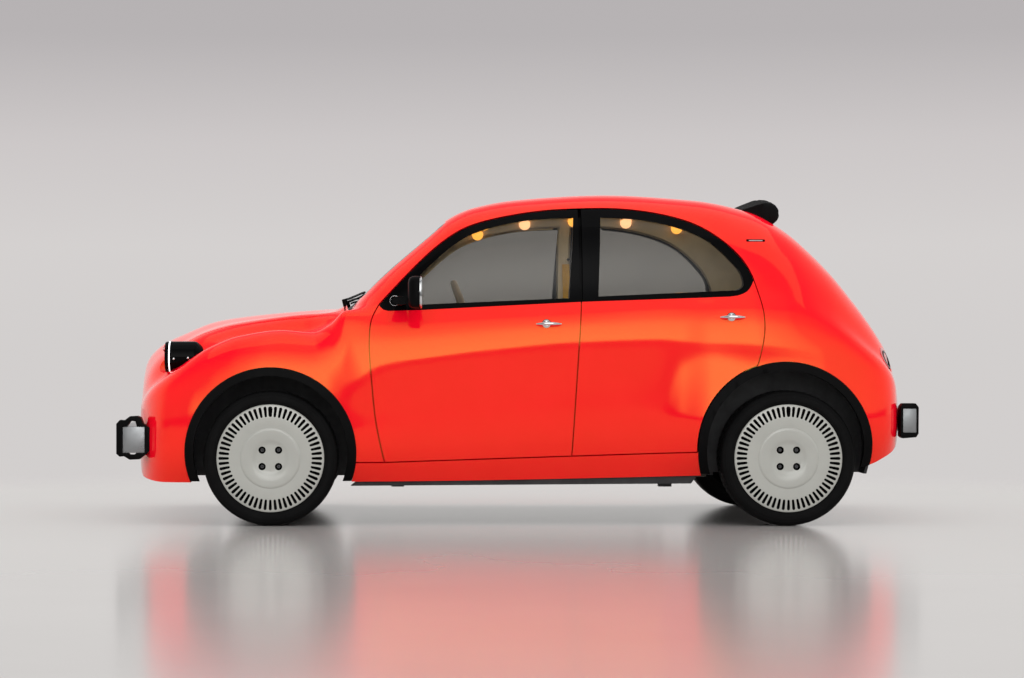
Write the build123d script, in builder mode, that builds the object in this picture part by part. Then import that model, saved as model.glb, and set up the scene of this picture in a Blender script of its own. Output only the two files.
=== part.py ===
"""A small four-door hatchback: open-roofed body, doors, bonnet, tailgate, running gear and cabin.

Millimetres. +Z up, the front faces -Y, the car's left side is at +X. The origin is on the
ground, midway between the bumper faces and midway between the sides.
"""
from build123d import *
import math
import os

os.makedirs("parts", exist_ok=True)

# Overall sizes
FRONT_OVERHANG = 730.0
WHEELBASE = 2400.0
REAR_OVERHANG = 630.0
WIDTH = 1704.0
HEIGHT = 1571.0
LENGTH = FRONT_OVERHANG + WHEELBASE + REAR_OVERHANG

# Wheels and steering
TYRE_RADIUS = 314.0
TYRE_WIDTH = 196.0
RIM_RADIUS = 229.0
COVER_RADIUS = 248.0
RIM_WALL = 10.0
DISC_THICKNESS = 12.0
BOLT_CIRCLE = 108.0
BOLT_COUNT = 4
LUG_HOLE_RADIUS = 18.0
SPINDLE_RADIUS = 25.0
KINGPIN_RADIUS = 14.0
KINGPIN_INSET = 44.0
RUNNING_CLEARANCE = 0.05
ARCH_LIFT = 24.0
ARCH_CLEARANCE = 84.0
ARCH_TRIM_WIDTH = 40.0

# Walls, gaps and fits
FLANK_WALL = 85.0
BELT_WALL = 70.0
PILLAR_WALL = 45.0
ROOF_WALL = 34.0
PANEL_WALL = 26.0
SEAL_STEP = 6.0
SHUT_GAP = 6.0
FRAME_GAP = 16.0
NOSE_GAP = 11.0
INNER_INSET = 36.0
INNER_GAP = 10.0
GLASS_DEPTH = 6.0
GLASS_THICKNESS = 5.0
SEAT_FIT = 0.3
FLOOR_LIFT = 6.0

# Places of the axles and of the nominal body on which the shape points were chosen
NOMINAL_FRONT, NOMINAL_REAR = -1880.0, 1880.0
NOMINAL_AXLES = (-1150.0, 1250.0)
NOMINAL_WIDTH, NOMINAL_HEIGHT = 1704.0, 1571.0
FRONT_AXLE = -LENGTH / 2 + FRONT_OVERHANG
REAR_AXLE = LENGTH / 2 - REAR_OVERHANG
WHEEL_X = WIDTH / 2 - 10.0 - TYRE_WIDTH / 2
KINGPIN_X = WHEEL_X - KINGPIN_INSET
ARCH_RADIUS = TYRE_RADIUS + ARCH_CLEARANCE
ARCH_Z = TYRE_RADIUS + ARCH_LIFT


def along(y):
    """Carries a lengthwise place on the nominal body to a body of this size."""
    knots = [(NOMINAL_FRONT, -LENGTH / 2), (NOMINAL_AXLES[0], FRONT_AXLE),
             (NOMINAL_AXLES[1], REAR_AXLE), (NOMINAL_REAR, LENGTH / 2)]
    for (low, low_out), (high, high_out) in zip(knots, knots[1:]):
        if y <= high or high == NOMINAL_REAR:
            return low_out + (y - low) * (high_out - low_out) / (high - low)


def across(x):
    return x * WIDTH / NOMINAL_WIDTH


def up(z):
    return z * HEIGHT / NOMINAL_HEIGHT


def flow(points, y):
    """Value at y of the smooth curve through (y, value) points, with no overshoot."""
    if y <= points[0][0]:
        return points[0][1]
    if y >= points[-1][0]:
        return points[-1][1]
    steps = [b[0] - a[0] for a, b in zip(points, points[1:])]
    slopes = [(b[1] - a[1]) / h for a, b, h in zip(points, points[1:], steps)]
    tangents = [slopes[0]]
    for before, after in zip(slopes, slopes[1:]):
        if before * after <= 0:
            tangents.append(0.0)
        else:
            tangents.append(2 * before * after / (before + after))
    tangents.append(slopes[-1])
    i = max(k for k in range(len(steps)) if points[k][0] <= y)
    h, t = steps[i], (y - points[i][0]) / steps[i]
    return ((1 + 2 * t) * (1 - t) ** 2 * points[i][1] + t * (1 - t) ** 2 * h * tangents[i]
            + t * t * (3 - 2 * t) * points[i + 1][1] - t * t * (1 - t) * h * tangents[i + 1])


# Guide curves of the half body, (y, value) on the nominal body.
CREASE_Y = -790.0
NOSE_Y, NOSE_START = -1812.0, -1480.0
TAIL_Y, TAIL_START = 1832.0, 1440.0
SILL_X = [(-1812, 775), (-1150, 790), (-700, 748), (300, 740), (850, 748), (1250, 785), (1832, 775)]
SILL_Z = [(-1812, 330), (-1796, 262), (-1765, 216), (-1650, 200), (-752, 202), (841, 230),
          (1540, 262), (1640, 284), (1700, 312), (1775, 356), (1812, 400), (1832, 444)]
FLANK_X = [(-1812, 815), (-1500, 838), (-1150, 850), (-900, 840), (-700, 811), (-450, 800),
           (0, 795), (450, 795), (640, 800), (760, 818), (920, 842), (1120, 852), (1400, 850),
           (1832, 815)]
HIP_X = [(-1812, 800), (-1500, 825), (-1150, 843), (-900, 833), (-700, 812), (-450, 802),
         (0, 797), (450, 797), (640, 801), (760, 812), (920, 832), (1120, 845), (1400, 842),
         (1832, 800)]
HIP_Z = [(-1812, 470), (-1714, 560), (-1600, 625), (-1400, 695), (-1150, 718), (-850, 695),
         (-600, 693), (-160, 755), (300, 808), (700, 816), (1000, 808), (1250, 790), (1480, 750),
         (1640, 690), (1760, 622), (1832, 505)]
BELT_X = [(-1812, 770), (-1600, 742), (-1350, 728), (-1100, 718), (-950, 716), (-790, 737),
          (300, 742), (800, 758), (1100, 785), (1300, 785), (1550, 755), (1832, 700)]
BELT_Z = [(-1812, 520), (-1714, 634), (-1600, 720), (-1444, 826), (-1300, 882), (-1100, 909),
          (-960, 900), (-880, 935), (-800, 1000), (-441, 1012), (292, 1045), (1011, 1072),
          (1250, 1060), (1450, 980), (1620, 850), (1750, 728), (1808, 640), (1832, 550)]
VALLEY_X = [(-1812, 700), (-1600, 655), (-1000, 650), (-790, 696)]
VALLEY_Z = [(-1812, 545), (-1714, 655), (-1600, 734), (-1480, 802), (-1340, 862), (-1150, 887),
            (-1000, 896), (-890, 930), (-790, 1000)]
BONNET_EDGE_X = [(-1812, 600), (-1600, 582), (-1000, 588), (-790, 661)]
BONNET_EDGE_Z = [(-1812, 596), (-1714, 722), (-1600, 795), (-1496, 857), (-1349, 911),
                 (-1100, 950), (-837, 981), (-790, 996)]
RAIL_X = [(-790, 640), (-424, 600), (-300, 565), (0, 545), (500, 540), (1000, 536), (1250, 545),
          (1480, 580), (1832, 600)]
RAIL_Z = [(-790, 993), (-633, 1143), (-420, 1324), (-310, 1418), (-200, 1466), (0, 1501),
          (428, 1525), (860, 1500), (1121, 1442), (1272, 1360), (1478, 1168), (1600, 1020),
          (1700, 886), (1770, 778), (1812, 690), (1832, 590)]
FRONT_CROWN_Z = [(-1812, 650), (-1806, 722), (-1792, 766), (-1756, 812), (-1700, 853),
                 (-1600, 900), (-1453, 956), (-1300, 981), (-1100, 1001), (-790, 1024)]
CABIN_CROWN_Z = [(-790, 1029), (-620, 1184), (-424, 1356), (-340, 1428), (-290, 1463), (-215, 1495),
                 (-60, 1536), (150, 1560), (428, 1571), (860, 1547), (1121, 1500), (1272, 1424),
                 (1478, 1234), (1600, 1090), (1700, 942), (1770, 824), (1812, 724), (1832, 620)]


def plan_share(y):
    """Share of the full width left at y, where the nose and the tail round off in plan."""
    if y < NOSE_START:
        return max(1 - ((NOSE_START - y) / (NOSE_START - NOSE_Y)) ** 3.6, 0.012) ** 0.4
    if y > TAIL_START:
        return max(1 - ((y - TAIL_START) / (TAIL_Y - TAIL_START)) ** 6.6, 0.012) ** 0.36
    return 1.0


def mix(a, b, share):
    return a + (b - a) * share


def half_section(y):
    """Points of the half section at nominal y, from the sill's lower edge to the crown."""
    sill = (flow(SILL_X, y), flow(SILL_Z, y))
    hip = (flow(HIP_X, y), flow(HIP_Z, y))
    belt = (flow(BELT_X, y), flow(BELT_Z, y))
    flank_x = flow(FLANK_X, y)
    lower = [sill, (flank_x - 16, mix(sill[1], hip[1], 0.2)), (flank_x, mix(sill[1], hip[1], 0.6)),
             hip, (mix(belt[0], hip[0], 0.6), mix(hip[1], belt[1], 0.74)), belt]
    if y < CREASE_Y:
        valley = (flow(VALLEY_X, y), flow(VALLEY_Z, y))
        edge = (flow(BONNET_EDGE_X, y), flow(BONNET_EDGE_Z, y))
        crown = flow(FRONT_CROWN_Z, y)
        rail_x = flow([(-1812, 430), (-1000, 445), (-790, 630)], y)
        upper = [valley, edge, (rail_x, mix(edge[1], crown, 0.5)),
                 (rail_x * 0.52, mix(edge[1], crown, 0.87)), (0.0, crown)]
    else:
        rail = (flow(RAIL_X, y), flow(RAIL_Z, y))
        crown = flow(CABIN_CROWN_Z, y)
        rise = rail[1] - belt[1]
        upper = [(mix(belt[0], rail[0], 0.43) + 0.092 * rise, belt[1] + 0.43 * rise),
                 (mix(belt[0], rail[0], 0.78) + 0.106 * rise, belt[1] + 0.78 * rise), rail,
                 (rail[0] * 0.55, mix(crown, rail[1], 0.3)), (0.0, crown)]
    share = plan_share(y)
    return [(x * share, z) for x, z in lower + upper]


STATIONS = [-1812, -1806, -1796, -1780, -1757, -1724, -1680, -1620, -1540, -1440, -1330, -1210,
            -1090, -990, -940, -893, -846, CREASE_Y, -728, -640, -530, -425, -368, -318, -264,
            -190, -90, 60, 240, 430, 610, 780, 910, 1040, 1130, 1215, 1290, 1370, 1460, 1550,
            1630, 1697, 1745, 1782, 1807, 1822, TAIL_Y]


def inset_section(y, depths):
    """The half section moved inwards by a depth at each point, at this car's size."""
    outer = [(across(x), up(z)) for x, z in half_section(y)]
    moved = []
    for i, (x, z) in enumerate(outer):
        before = outer[max(i - 1, 0)]
        after = outer[min(i + 1, len(outer) - 1)]
        if i == len(outer) - 1:
            after = (-before[0], before[1])
        dx, dz = after[0] - before[0], after[1] - before[1]
        size = math.hypot(dx, dz)
        moved.append((x - dz / size * depths[i], z + dx / size * depths[i]))
    return moved


def hull(depths, first=-1e6, last=1e6, belly=0.0):
    """Closed solid of the body's shape, inset by the depths, between two stations."""
    with BuildPart() as shape:
        for y in [s for s in STATIONS if first <= s <= last]:
            half = inset_section(y, depths)
            half[0] = (half[0][0], half[0][1] + belly)
            with BuildSketch(Plane.XZ.offset(-along(y))):
                with BuildLine():
                    Spline([(-x, z) for x, z in half] + [(x, z) for x, z in reversed(half[:-1])])
                    Line((half[0][0], half[0][1]), (-half[0][0], half[0][1]))
                make_face()
        loft(ruled=True)
    return shape.part


def even(depth):
    return [depth] * 11


def grown(runs, margin):
    """The closed outline's runs with every point moved outwards by a margin."""
    corners = [run[0] for run in runs]
    area = sum(a[0] * b[1] - b[0] * a[1] for a, b in zip(corners, corners[1:] + corners[:1]))
    side = margin if area > 0 else -margin

    def heading(a, b):
        size = math.dist(a, b)
        return ((b[0] - a[0]) / size, (b[1] - a[1]) / size)

    def moved(point, before, after):
        share = side / (1 + before[0] * after[0] + before[1] * after[1])
        return (point[0] + share * (before[1] + after[1]),
                point[1] - share * (before[0] + after[0]))

    result = []
    for i, run in enumerate(runs):
        previous, following = runs[i - 1], runs[(i + 1) % len(runs)]
        legs = [heading(a, b) for a, b in zip(run, run[1:])]
        before = [heading(previous[-2], previous[-1])] + legs
        after = legs + [heading(following[0], following[1])]
        result.append([moved(*step) for step in zip(run, before, after)])
    return result


def prism(plane, runs, depth, margin=0.0):
    """Solid behind a closed outline of runs on a plane; long runs are curves."""
    with BuildPart() as solid:
        with BuildSketch(plane):
            with BuildLine():
                for run in grown(runs, margin):
                    if len(run) > 2:
                        Spline(run)
                    else:
                        Line(run[0], run[1])
            make_face()
        extrude(amount=depth)
    return solid.part


def side_prism(runs, low=300.0, high=1100.0, margin=0.0):
    """Solid behind an outline of nominal (y, z) runs, from x = low to x = high."""
    placed = [[(along(y), up(z)) for y, z in run] for run in runs]
    return prism(Plane.YZ.offset(low), placed, high - low, margin)


def both_sides(points):
    """Straight runs through half an outline's points and back through their mirror images."""
    loop = points + [(-x, other) for x, other in reversed(points) if x]
    return [[a, b] for a, b in zip(loop, loop[1:] + loop[:1])]


def plan_prism(points, low, high, margin=0.0):
    """Upright solid over half a plan outline of nominal (x, y) points and its mirror image."""
    loop = both_sides([(across(x), along(y)) for x, y in points])
    return prism(Plane.XY.offset(up(low)), loop, up(high) - up(low), margin)


def end_prism(points, low, high, margin=0.0):
    """Solid along Y behind half an end outline of nominal (x, z) points and its mirror image."""
    loop = both_sides([(across(x), up(z)) for x, z in points])
    return prism(Plane.XZ.offset(-along(high)), loop, along(high) - along(low), margin)


def block(x, y, z):
    """Box between pairs of true x, y and z places."""
    with BuildPart() as solid:
        with Locations(((x[0] + x[1]) / 2, (y[0] + y[1]) / 2, (z[0] + z[1]) / 2)):
            Box(abs(x[1] - x[0]), abs(y[1] - y[0]), abs(z[1] - z[0]))
    return solid.part


def rod(radius, start, end):
    """Round rod from one true point to another."""
    path = Vector(*end) - Vector(*start)
    with BuildPart() as solid:
        with BuildSketch(Plane(origin=start, z_dir=path)):
            Circle(radius)
        extrude(amount=path.length)
    return solid.part


def common(first, second):
    with BuildPart() as solid:
        add(first)
        add(second, mode=Mode.INTERSECT)
    return solid.part


def without(base, *tools):
    with BuildPart() as solid:
        add(base)
        for tool in tools:
            add(tool, mode=Mode.SUBTRACT)
    return solid.part


def joined(*solids):
    with BuildPart() as solid:
        for piece in solids:
            add(piece)
    return solid.part


def mirrored(solid):
    """The same piece on the car's other side."""
    with BuildPart() as twin:
        add(mirror(solid, about=Plane.YZ, mode=Mode.PRIVATE))
    return twin.part


def save(solid, name):
    solid.label = name
    export_step(solid, f"parts/{name}.step")


def save_pair(solid, name):
    """Writes a left piece and its mirrored right twin."""
    save(solid, f"{name}_left")
    save(mirrored(solid), f"{name}_right")


# ---------------------------------------------------------------- the body's shape
WALLS = ([FLANK_WALL] * 4 + [BELT_WALL + 5, BELT_WALL] + [PILLAR_WALL] * 3 + [ROOF_WALL] * 2)
SEAL_DEPTH = PANEL_WALL + SEAL_STEP
CABIN_END = 1800

OUTER = hull(even(0.0))
CABIN = hull(WALLS, CREASE_Y, CABIN_END, FLOOR_LIFT)
SEAL = hull(even(SEAL_DEPTH), CREASE_Y - 60, CABIN_END + 10)
FLANGE = hull(even(PANEL_WALL), CREASE_Y, CABIN_END)
BAY = hull(even(SEAL_DEPTH - SEAT_FIT), -1800, -500)
GLASS_OUT = hull(even(GLASS_DEPTH), -900, CABIN_END + 10)
GLASS_IN = hull(even(GLASS_DEPTH + GLASS_THICKNESS), -900, CABIN_END + 10)
TRIM_OUT = hull(even(-4.0), -1700, 1750)

SHELL = without(OUTER, CABIN)
THIN_SHELL = without(OUTER, BAY)
PANE = without(GLASS_OUT, GLASS_IN)

# ---------------------------------------------------------------- outlines
FRONT_DOOR = [
    [(-645, 1032), (-681, 960), (-691, 894), (-691, 799), (-680, 657), (-661, 480), (-621, 293)],
    [(-621, 293), (250, 322)],
    [(250, 322), (297, 1038)],
    [(297, 1038), (299, 1483)],
    [(299, 1483), (150, 1476), (30, 1461), (-126, 1430), (-246, 1390), (-358, 1318), (-507, 1180),
     (-645, 1032)],
]
REAR_DOOR = [
    [(250, 322), (297, 1038)],
    [(297, 1038), (299, 1483)],
    [(299, 1483), (406, 1485), (604, 1470), (736, 1443), (836, 1409), (930, 1355), (1016, 1281),
     (1066, 1218), (1095, 1160)],
    [(1095, 1160), (1117, 1086), (1136, 1000), (1139, 900), (1128, 829), (1109, 752)],
    [(1109, 752), (828, 341)],
    [(828, 341), (250, 322)],
]
FRONT_WINDOW = [
    [(-456, 1028), (-455, 1168)],
    [(-455, 1168), (-350, 1266), (-236, 1348), (-126, 1390), (30, 1424), (268, 1438)],
    [(268, 1438), (241, 1058)],
    [(241, 1058), (-456, 1028)],
]
REAR_WINDOW = [
    [(378, 1066), (394, 1441)],
    [(394, 1441), (604, 1426), (770, 1387), (902, 1322), (996, 1232), (1050, 1146), (1048, 1112),
     (1020, 1094)],
    [(1020, 1094), (378, 1066)],
]
BONNET_PLAN = [(0, -1703), (300, -1696), (430, -1672), (496, -1630), (512, -1560), (560, -1300),
               (580, -1000), (596, -812), (0, -812)]
TAILGATE_END = [(0, 604), (530, 604), (558, 640), (560, 900), (520, 1200), (455, 1420), (0, 1500)]
TAILGATE_TOP_Y = 1296
WINDSHIELD_END = [(0, 1072), (560, 1062), (600, 1076), (588, 1200), (548, 1404), (520, 1424),
                  (0, 1452)]
NOSE_SPLIT_Y = -1560
REAR_SPLIT_Y = 1672
ROOF_SEAM_X = 500
FENDER_TOP_Z = 1010
SILL_SPLIT_Z = 293
FLOOR_SEAM_X = 640
FLOOR_SEAM_Z = 340
COWL_REAR_Y = -700
COWL_SIDE_X = 648
HINGE_BANDS = ((420, 480), (760, 820))
BONNET_PAD_X = (470.0, 530.0)
TAILGATE_PAD_X = (240.0, 300.0)


def arch_cylinder(axle, lift, radius, low=300.0, high=1100.0):
    """Round bar along X that clears a wheel arch."""
    return rod(radius, (low, axle, TYRE_RADIUS + lift), (high, axle, TYRE_RADIUS + lift))


ARCHES = [(FRONT_AXLE, ARCH_LIFT, ARCH_RADIUS),
          (REAR_AXLE - 12.0, ARCH_LIFT + 20.0, ARCH_RADIUS + 6.0)]
ARCH_CUTS = [arch_cylinder(axle, lift, radius + SEAT_FIT) for axle, lift, radius in ARCHES]

# ---------------------------------------------------------------- doors
def door(outline, window, trims):
    """Door leaf: outer flange to the shut line, inner box inset behind it, window cut."""
    leaf = common(SHELL, side_prism(outline, margin=-SHUT_GAP / 2))
    ring = without(side_prism(outline, margin=SHUT_GAP), side_prism(outline, margin=-INNER_INSET))
    rebate = common(FLANGE, ring)
    return without(leaf, rebate, side_prism(window), *trims)


def pane(window):
    """Flush side glass that fills a window opening."""
    return common(PANE, side_prism(window, margin=-SEAT_FIT))


frame_slot = block((300, 1100), (along(297 - FRAME_GAP / 2), along(297 + FRAME_GAP / 2)),
                   (up(1046), up(1500)))
rear_arch_gap = arch_cylinder(*ARCHES[1][:2], ARCHES[1][2] + SHUT_GAP)
front_door = door(FRONT_DOOR, FRONT_WINDOW, [frame_slot])
rear_door = door(REAR_DOOR, REAR_WINDOW, [frame_slot, rear_arch_gap])
save_pair(front_door, "front_door")
save_pair(rear_door, "rear_door")
save_pair(pane(FRONT_WINDOW), "front_door_glass")
save_pair(pane(REAR_WINDOW), "rear_door_glass")

# ---------------------------------------------------------------- bonnet, tailgate, windshield
bonnet = without(common(THIN_SHELL, plan_prism(BONNET_PLAN, 740, 1200, -SHUT_GAP / 2)),
                 block((-700, 700), (along(-1800), along(BONNET_PLAN[0][1]) + NOSE_GAP), (0, 1200)))
save(bonnet, "bonnet")
bonnet_space = plan_prism(BONNET_PLAN, 720, 1200, SHUT_GAP / 2)

TAILGATE_REAR = 1900
tailgate_leaf = common(SHELL, end_prism(TAILGATE_END, TAILGATE_TOP_Y, TAILGATE_REAR,
                                        -SHUT_GAP / 2))
TAILGATE_WINDOW_END = [(0, 1052), (400, 1056), (440, 1090), (436, 1180), (390, 1330), (350, 1362),
                       (0, 1384)]
tailgate = without(tailgate_leaf, end_prism(TAILGATE_WINDOW_END, 1200, TAILGATE_REAR))
tailgate_glass = common(PANE, end_prism(TAILGATE_WINDOW_END, 1200, TAILGATE_REAR, -SEAT_FIT))
tailgate_space = end_prism(TAILGATE_END, TAILGATE_TOP_Y - SHUT_GAP, TAILGATE_REAR, SHUT_GAP / 2)
save(tailgate, "tailgate")
save(tailgate_glass, "tailgate_glass")

windshield_space = end_prism(WINDSHIELD_END, -920, -240)
windshield = common(PANE, end_prism(WINDSHIELD_END, -900, -240, -SEAT_FIT))
save(windshield, "windshield")

# ---------------------------------------------------------------- headlamps and tail lamps
LAMP_RADIUS = 74.0
LAMP_X, LAMP_Z = 604.0, 783.0
LAMP_FRONT_Y, LAMP_REAR_Y = -1656.0, -1462.0
LAMP_REAR_CHAMFER = 46.0
TAIL_LAMP_RADIUS = 58.0
TAIL_LAMP_X, TAIL_LAMP_Z = 630.0, 770.0
TAIL_LAMP_Y = (1620.0, 1742.0)


def lamp_space(fit, front):
    """Bar with a chamfered rear end that a headlamp pod fills, grown by a fit."""
    x, z = across(LAMP_X), up(LAMP_Z)
    with BuildPart() as pod:
        add(rod(LAMP_RADIUS + fit, (x, along(front), z), (x, along(LAMP_REAR_Y) + fit, z)))
        rear_edge = pod.edges().filter_by(GeomType.CIRCLE).sort_by(Axis.Y)[-1]
        chamfer(rear_edge, LAMP_REAR_CHAMFER)
    return pod.part


def tail_lamp_space(fit, rear):
    x, z = across(TAIL_LAMP_X), up(TAIL_LAMP_Z)
    return rod(TAIL_LAMP_RADIUS + fit, (x, along(TAIL_LAMP_Y[0]) - fit, z), (x, along(rear), z))


headlamp = lamp_space(0.0, LAMP_FRONT_Y)
tail_lamp = common(tail_lamp_space(0.0, TAIL_LAMP_Y[1]), TRIM_OUT)
save(joined(headlamp, mirrored(headlamp)), "headlamps")
save(joined(tail_lamp, mirrored(tail_lamp)), "tail_lamps")
lamp_cut = lamp_space(SEAT_FIT, -1900)
tail_lamp_cut = tail_lamp_space(SEAT_FIT, 1900)

# ---------------------------------------------------------------- outer panels
FAR = 2000.0


def slab(y, z, x=(-FAR, FAR)):
    """Box between nominal places, full width unless x is given."""
    return block((across(x[0]), across(x[1])), (along(y[0]), along(y[1])), (up(z[0]), up(z[1])))


BUMPER_BRACKET_X = 365.0
BRACKET_WIDTH = 60.0
FRONT_BEAM_Z = (334.0, 456.0)
REAR_BEAM_Z = (429.0, 541.0)


def bracket(y, z, fit=0.0):
    middle = up((z[0] + z[1]) / 2)
    half = BRACKET_WIDTH / 2 + fit
    x = across(BUMPER_BRACKET_X)
    return block((x - half, x + half), (along(y[0]), along(y[1])), (middle - half, middle + half))


front_bracket_cut = bracket((-1900, -1690), FRONT_BEAM_Z, SEAT_FIT)
rear_bracket_cut = bracket((1680, 1900), REAR_BEAM_Z, SEAT_FIT)

nose_panel = without(common(THIN_SHELL, slab((-1900, NOSE_SPLIT_Y), (0, 1200))), bonnet_space,
                     lamp_cut, mirrored(lamp_cut), front_bracket_cut, mirrored(front_bracket_cut))
save(nose_panel, "nose_panel")

front_fender = without(common(THIN_SHELL, slab((NOSE_SPLIT_Y, -600), (0, FENDER_TOP_Z), (440, FAR))),
                       bonnet_space, lamp_cut, ARCH_CUTS[0],
                       side_prism(FRONT_DOOR, margin=SHUT_GAP / 2),
                       slab((-790, -500), (0, SILL_SPLIT_Z + SHUT_GAP / 2)),
                       slab((-812, -500), (800, 1300), (0, COWL_SIDE_X)),
                       slab((NOSE_SPLIT_Y, -500), (0, 300), (0, FLOOR_SEAM_X + 40)))
save_pair(front_fender, "front_fender")

cowl = without(common(THIN_SHELL, slab((-812 + SHUT_GAP, COWL_REAR_Y), (880, 1200),
                                       (-COWL_SIDE_X + SEAT_FIT, COWL_SIDE_X - SEAT_FIT))),
               windshield_space)
bonnet_rear = along(-812) - SHUT_GAP / 2
bonnet_pad = block(BONNET_PAD_X, (bonnet_rear + SEAT_FIT, bonnet_rear + SHUT_GAP + 12), (880, 1200))
bonnet_pad = common(common(THIN_SHELL, hull(even(GLASS_DEPTH), -900, -700)), bonnet_pad)
save(joined(cowl, bonnet_pad, mirrored(bonnet_pad)), "cowl")

roof_seam = slab((-400, 1900), (1240, 1700), (-ROOF_SEAM_X, ROOF_SEAM_X))
ROOF_OPENING = (430.0, -170.0, 1096.0)
opening_x, opening_front, opening_rear = ROOF_OPENING
roof_opening = slab((opening_front, opening_rear), (1300, 1700), (-opening_x, opening_x))
roof_frame = without(common(SHELL, roof_seam), roof_opening, tailgate_space, windshield_space)
tailgate_pad = block(TAILGATE_PAD_X, (along(TAILGATE_TOP_Y) - SHUT_GAP - 8,
                                      along(TAILGATE_TOP_Y) - SEAT_FIT), (1200, 1500))
tailgate_pad = common(common(GLASS_OUT, tailgate_pad), SHELL)
save(joined(roof_frame, tailgate_pad, mirrored(tailgate_pad)), "roof_frame")

floor_seam = slab((-784, 2000), (0, FLOOR_SEAM_Z), (-FLOOR_SEAM_X, FLOOR_SEAM_X))
rear_corner = slab((REAR_SPLIT_Y, 2000), (0, 604), (-FAR, FAR))
door_openings = []
for outline in (FRONT_DOOR, REAR_DOOR):
    door_openings.append(without(side_prism(outline, margin=SHUT_GAP / 2), SEAL))
    door_openings.append(side_prism(outline, margin=INNER_GAP - INNER_INSET))
body_side = without(common(SHELL, slab((-784, 2000), (0, 1700), (0, FAR))), roof_seam, floor_seam,
                    rear_corner, tailgate_space, windshield_space, *ARCH_CUTS, tail_lamp_cut,
                    *door_openings)
fender_space = without(slab((-900, -600), (SILL_SPLIT_Z - SHUT_GAP / 2, FENDER_TOP_Z), (300, FAR)),
                       SEAL)
cowl_space = slab((-900, COWL_REAR_Y), (880, 1300), (0, COWL_SIDE_X))
body_side = without(body_side, fender_space, cowl_space)


def hinge_blocks(outline, front_y):
    """Blocks on the pillar that meet the front edge of a door's inner box."""
    gap = without(side_prism(outline, margin=INNER_GAP - INNER_INSET + 3),
                  side_prism(outline, margin=SEAT_FIT - INNER_INSET))
    bands = [common(gap, slab((front_y - 60, front_y + 160), band)) for band in HINGE_BANDS]
    return [without(common(SEAL, band), CABIN) for band in bands]


body_side = joined(body_side, *hinge_blocks(FRONT_DOOR, -690), *hinge_blocks(REAR_DOOR, 250))
save_pair(body_side, "body_side")

rear_panel = without(common(SHELL, rear_corner), tailgate_space, tail_lamp_cut,
                     mirrored(tail_lamp_cut), rear_bracket_cut, mirrored(rear_bracket_cut))
save(rear_panel, "rear_panel")

# ---------------------------------------------------------------- floor, wheelhouses, arch trims
LINER_WALL = 12.0
LINER_OUTER_X = 759.0
FRONT_LINER_X, REAR_LINER_X = 470.0, 600.0
BODY_BOTTOM = 205.0
FRONT_LINER_BOTTOM, REAR_LINER_BOTTOM = 218.0, 240.0
AXLE_PORT_RADIUS = 62.0
BOOT_FLOOR_Z = (430.0, 456.0)
BOOT_FLOOR_Y = (930.0, REAR_SPLIT_Y)
BOOT_FLOOR_X = 590.0
RAIL_HALF = 30.0
JACK_X, JACK_Z = 596.0, 172.0
JACK_Y = (-560.0, 700.0)
JACK_PAD = 30.0


def liner(arch, wall_x, bottom):
    """Wheelhouse: an arched ring with a flat inner wall, open below."""
    axle, lift, radius = arch
    outer_x = across(LINER_OUTER_X)
    drum = arch_cylinder(axle, lift, radius, wall_x, outer_x)
    hollow = arch_cylinder(axle, lift, radius - LINER_WALL, wall_x + LINER_WALL, outer_x + 1)
    return without(drum, hollow, block((0, FAR), (-FAR, FAR), (-FAR, up(bottom))))


front_liner = liner(ARCHES[0], across(FRONT_LINER_X), FRONT_LINER_BOTTOM)
rear_liner = without(liner(ARCHES[1], across(REAR_LINER_X), REAR_LINER_BOTTOM),
                     arch_cylinder(REAR_AXLE, 0.0, AXLE_PORT_RADIUS))
front_rail = block((across(BUMPER_BRACKET_X) - RAIL_HALF, across(BUMPER_BRACKET_X) + RAIL_HALF),
                   (along(-1690), along(-770)), (up(335), up(455)))
rear_rail = block((across(BUMPER_BRACKET_X) - RAIL_HALF, across(BUMPER_BRACKET_X) + RAIL_HALF),
                  (along(BOOT_FLOOR_Y[1] - 20), along(1720)), (up(400), up(545)))
strut_tower = block((across(390), across(FRONT_LINER_X) + 5), (FRONT_AXLE - 60, FRONT_AXLE + 60),
                    (up(360), up(690)))
sill_strip = side_prism([[(-779, 181), (810, 192)], [(810, 192), (841, 231)],
                         [(841, 231), (-752, 202)], [(-752, 202), (-779, 181)]],
                        across(630), across(728))
sill_strip = without(sill_strip, OUTER)
floor_plate = without(common(SHELL, floor_seam), rear_corner,
                      slab(BOOT_FLOOR_Y, (0, 400), (-FLOOR_SEAM_X, FLOOR_SEAM_X)),
                      *ARCH_CUTS, *[mirrored(cut) for cut in ARCH_CUTS])
boot_floor = slab(BOOT_FLOOR_Y, BOOT_FLOOR_Z, (-REAR_LINER_X, REAR_LINER_X))
boot_risers = joined(slab((BOOT_FLOOR_Y[0] - 20, BOOT_FLOOR_Y[0]), (225, BOOT_FLOOR_Z[1]),
                          (-BOOT_FLOOR_X, BOOT_FLOOR_X)),
                     slab((BOOT_FLOOR_Y[1] - 28, BOOT_FLOOR_Y[1] - 8), (300, BOOT_FLOOR_Z[1]),
                          (-BOOT_FLOOR_X, BOOT_FLOOR_X)))
firewall = slab((-784, -762), (240, 940), (-640, 640))
jack_pads = joined(*[block((across(JACK_X) - JACK_PAD, across(JACK_X) + JACK_PAD),
                           (along(y) - JACK_PAD, along(y) + JACK_PAD),
                           (up(JACK_Z), up(JACK_Z) + 60)) for y in JACK_Y])
half_floor = joined(front_liner, rear_liner, front_rail, rear_rail, strut_tower, sill_strip,
                    jack_pads)
floor_pan = joined(floor_plate, boot_floor, boot_risers, firewall, half_floor,
                   mirrored(half_floor))
save(floor_pan, "floor_pan")

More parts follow.
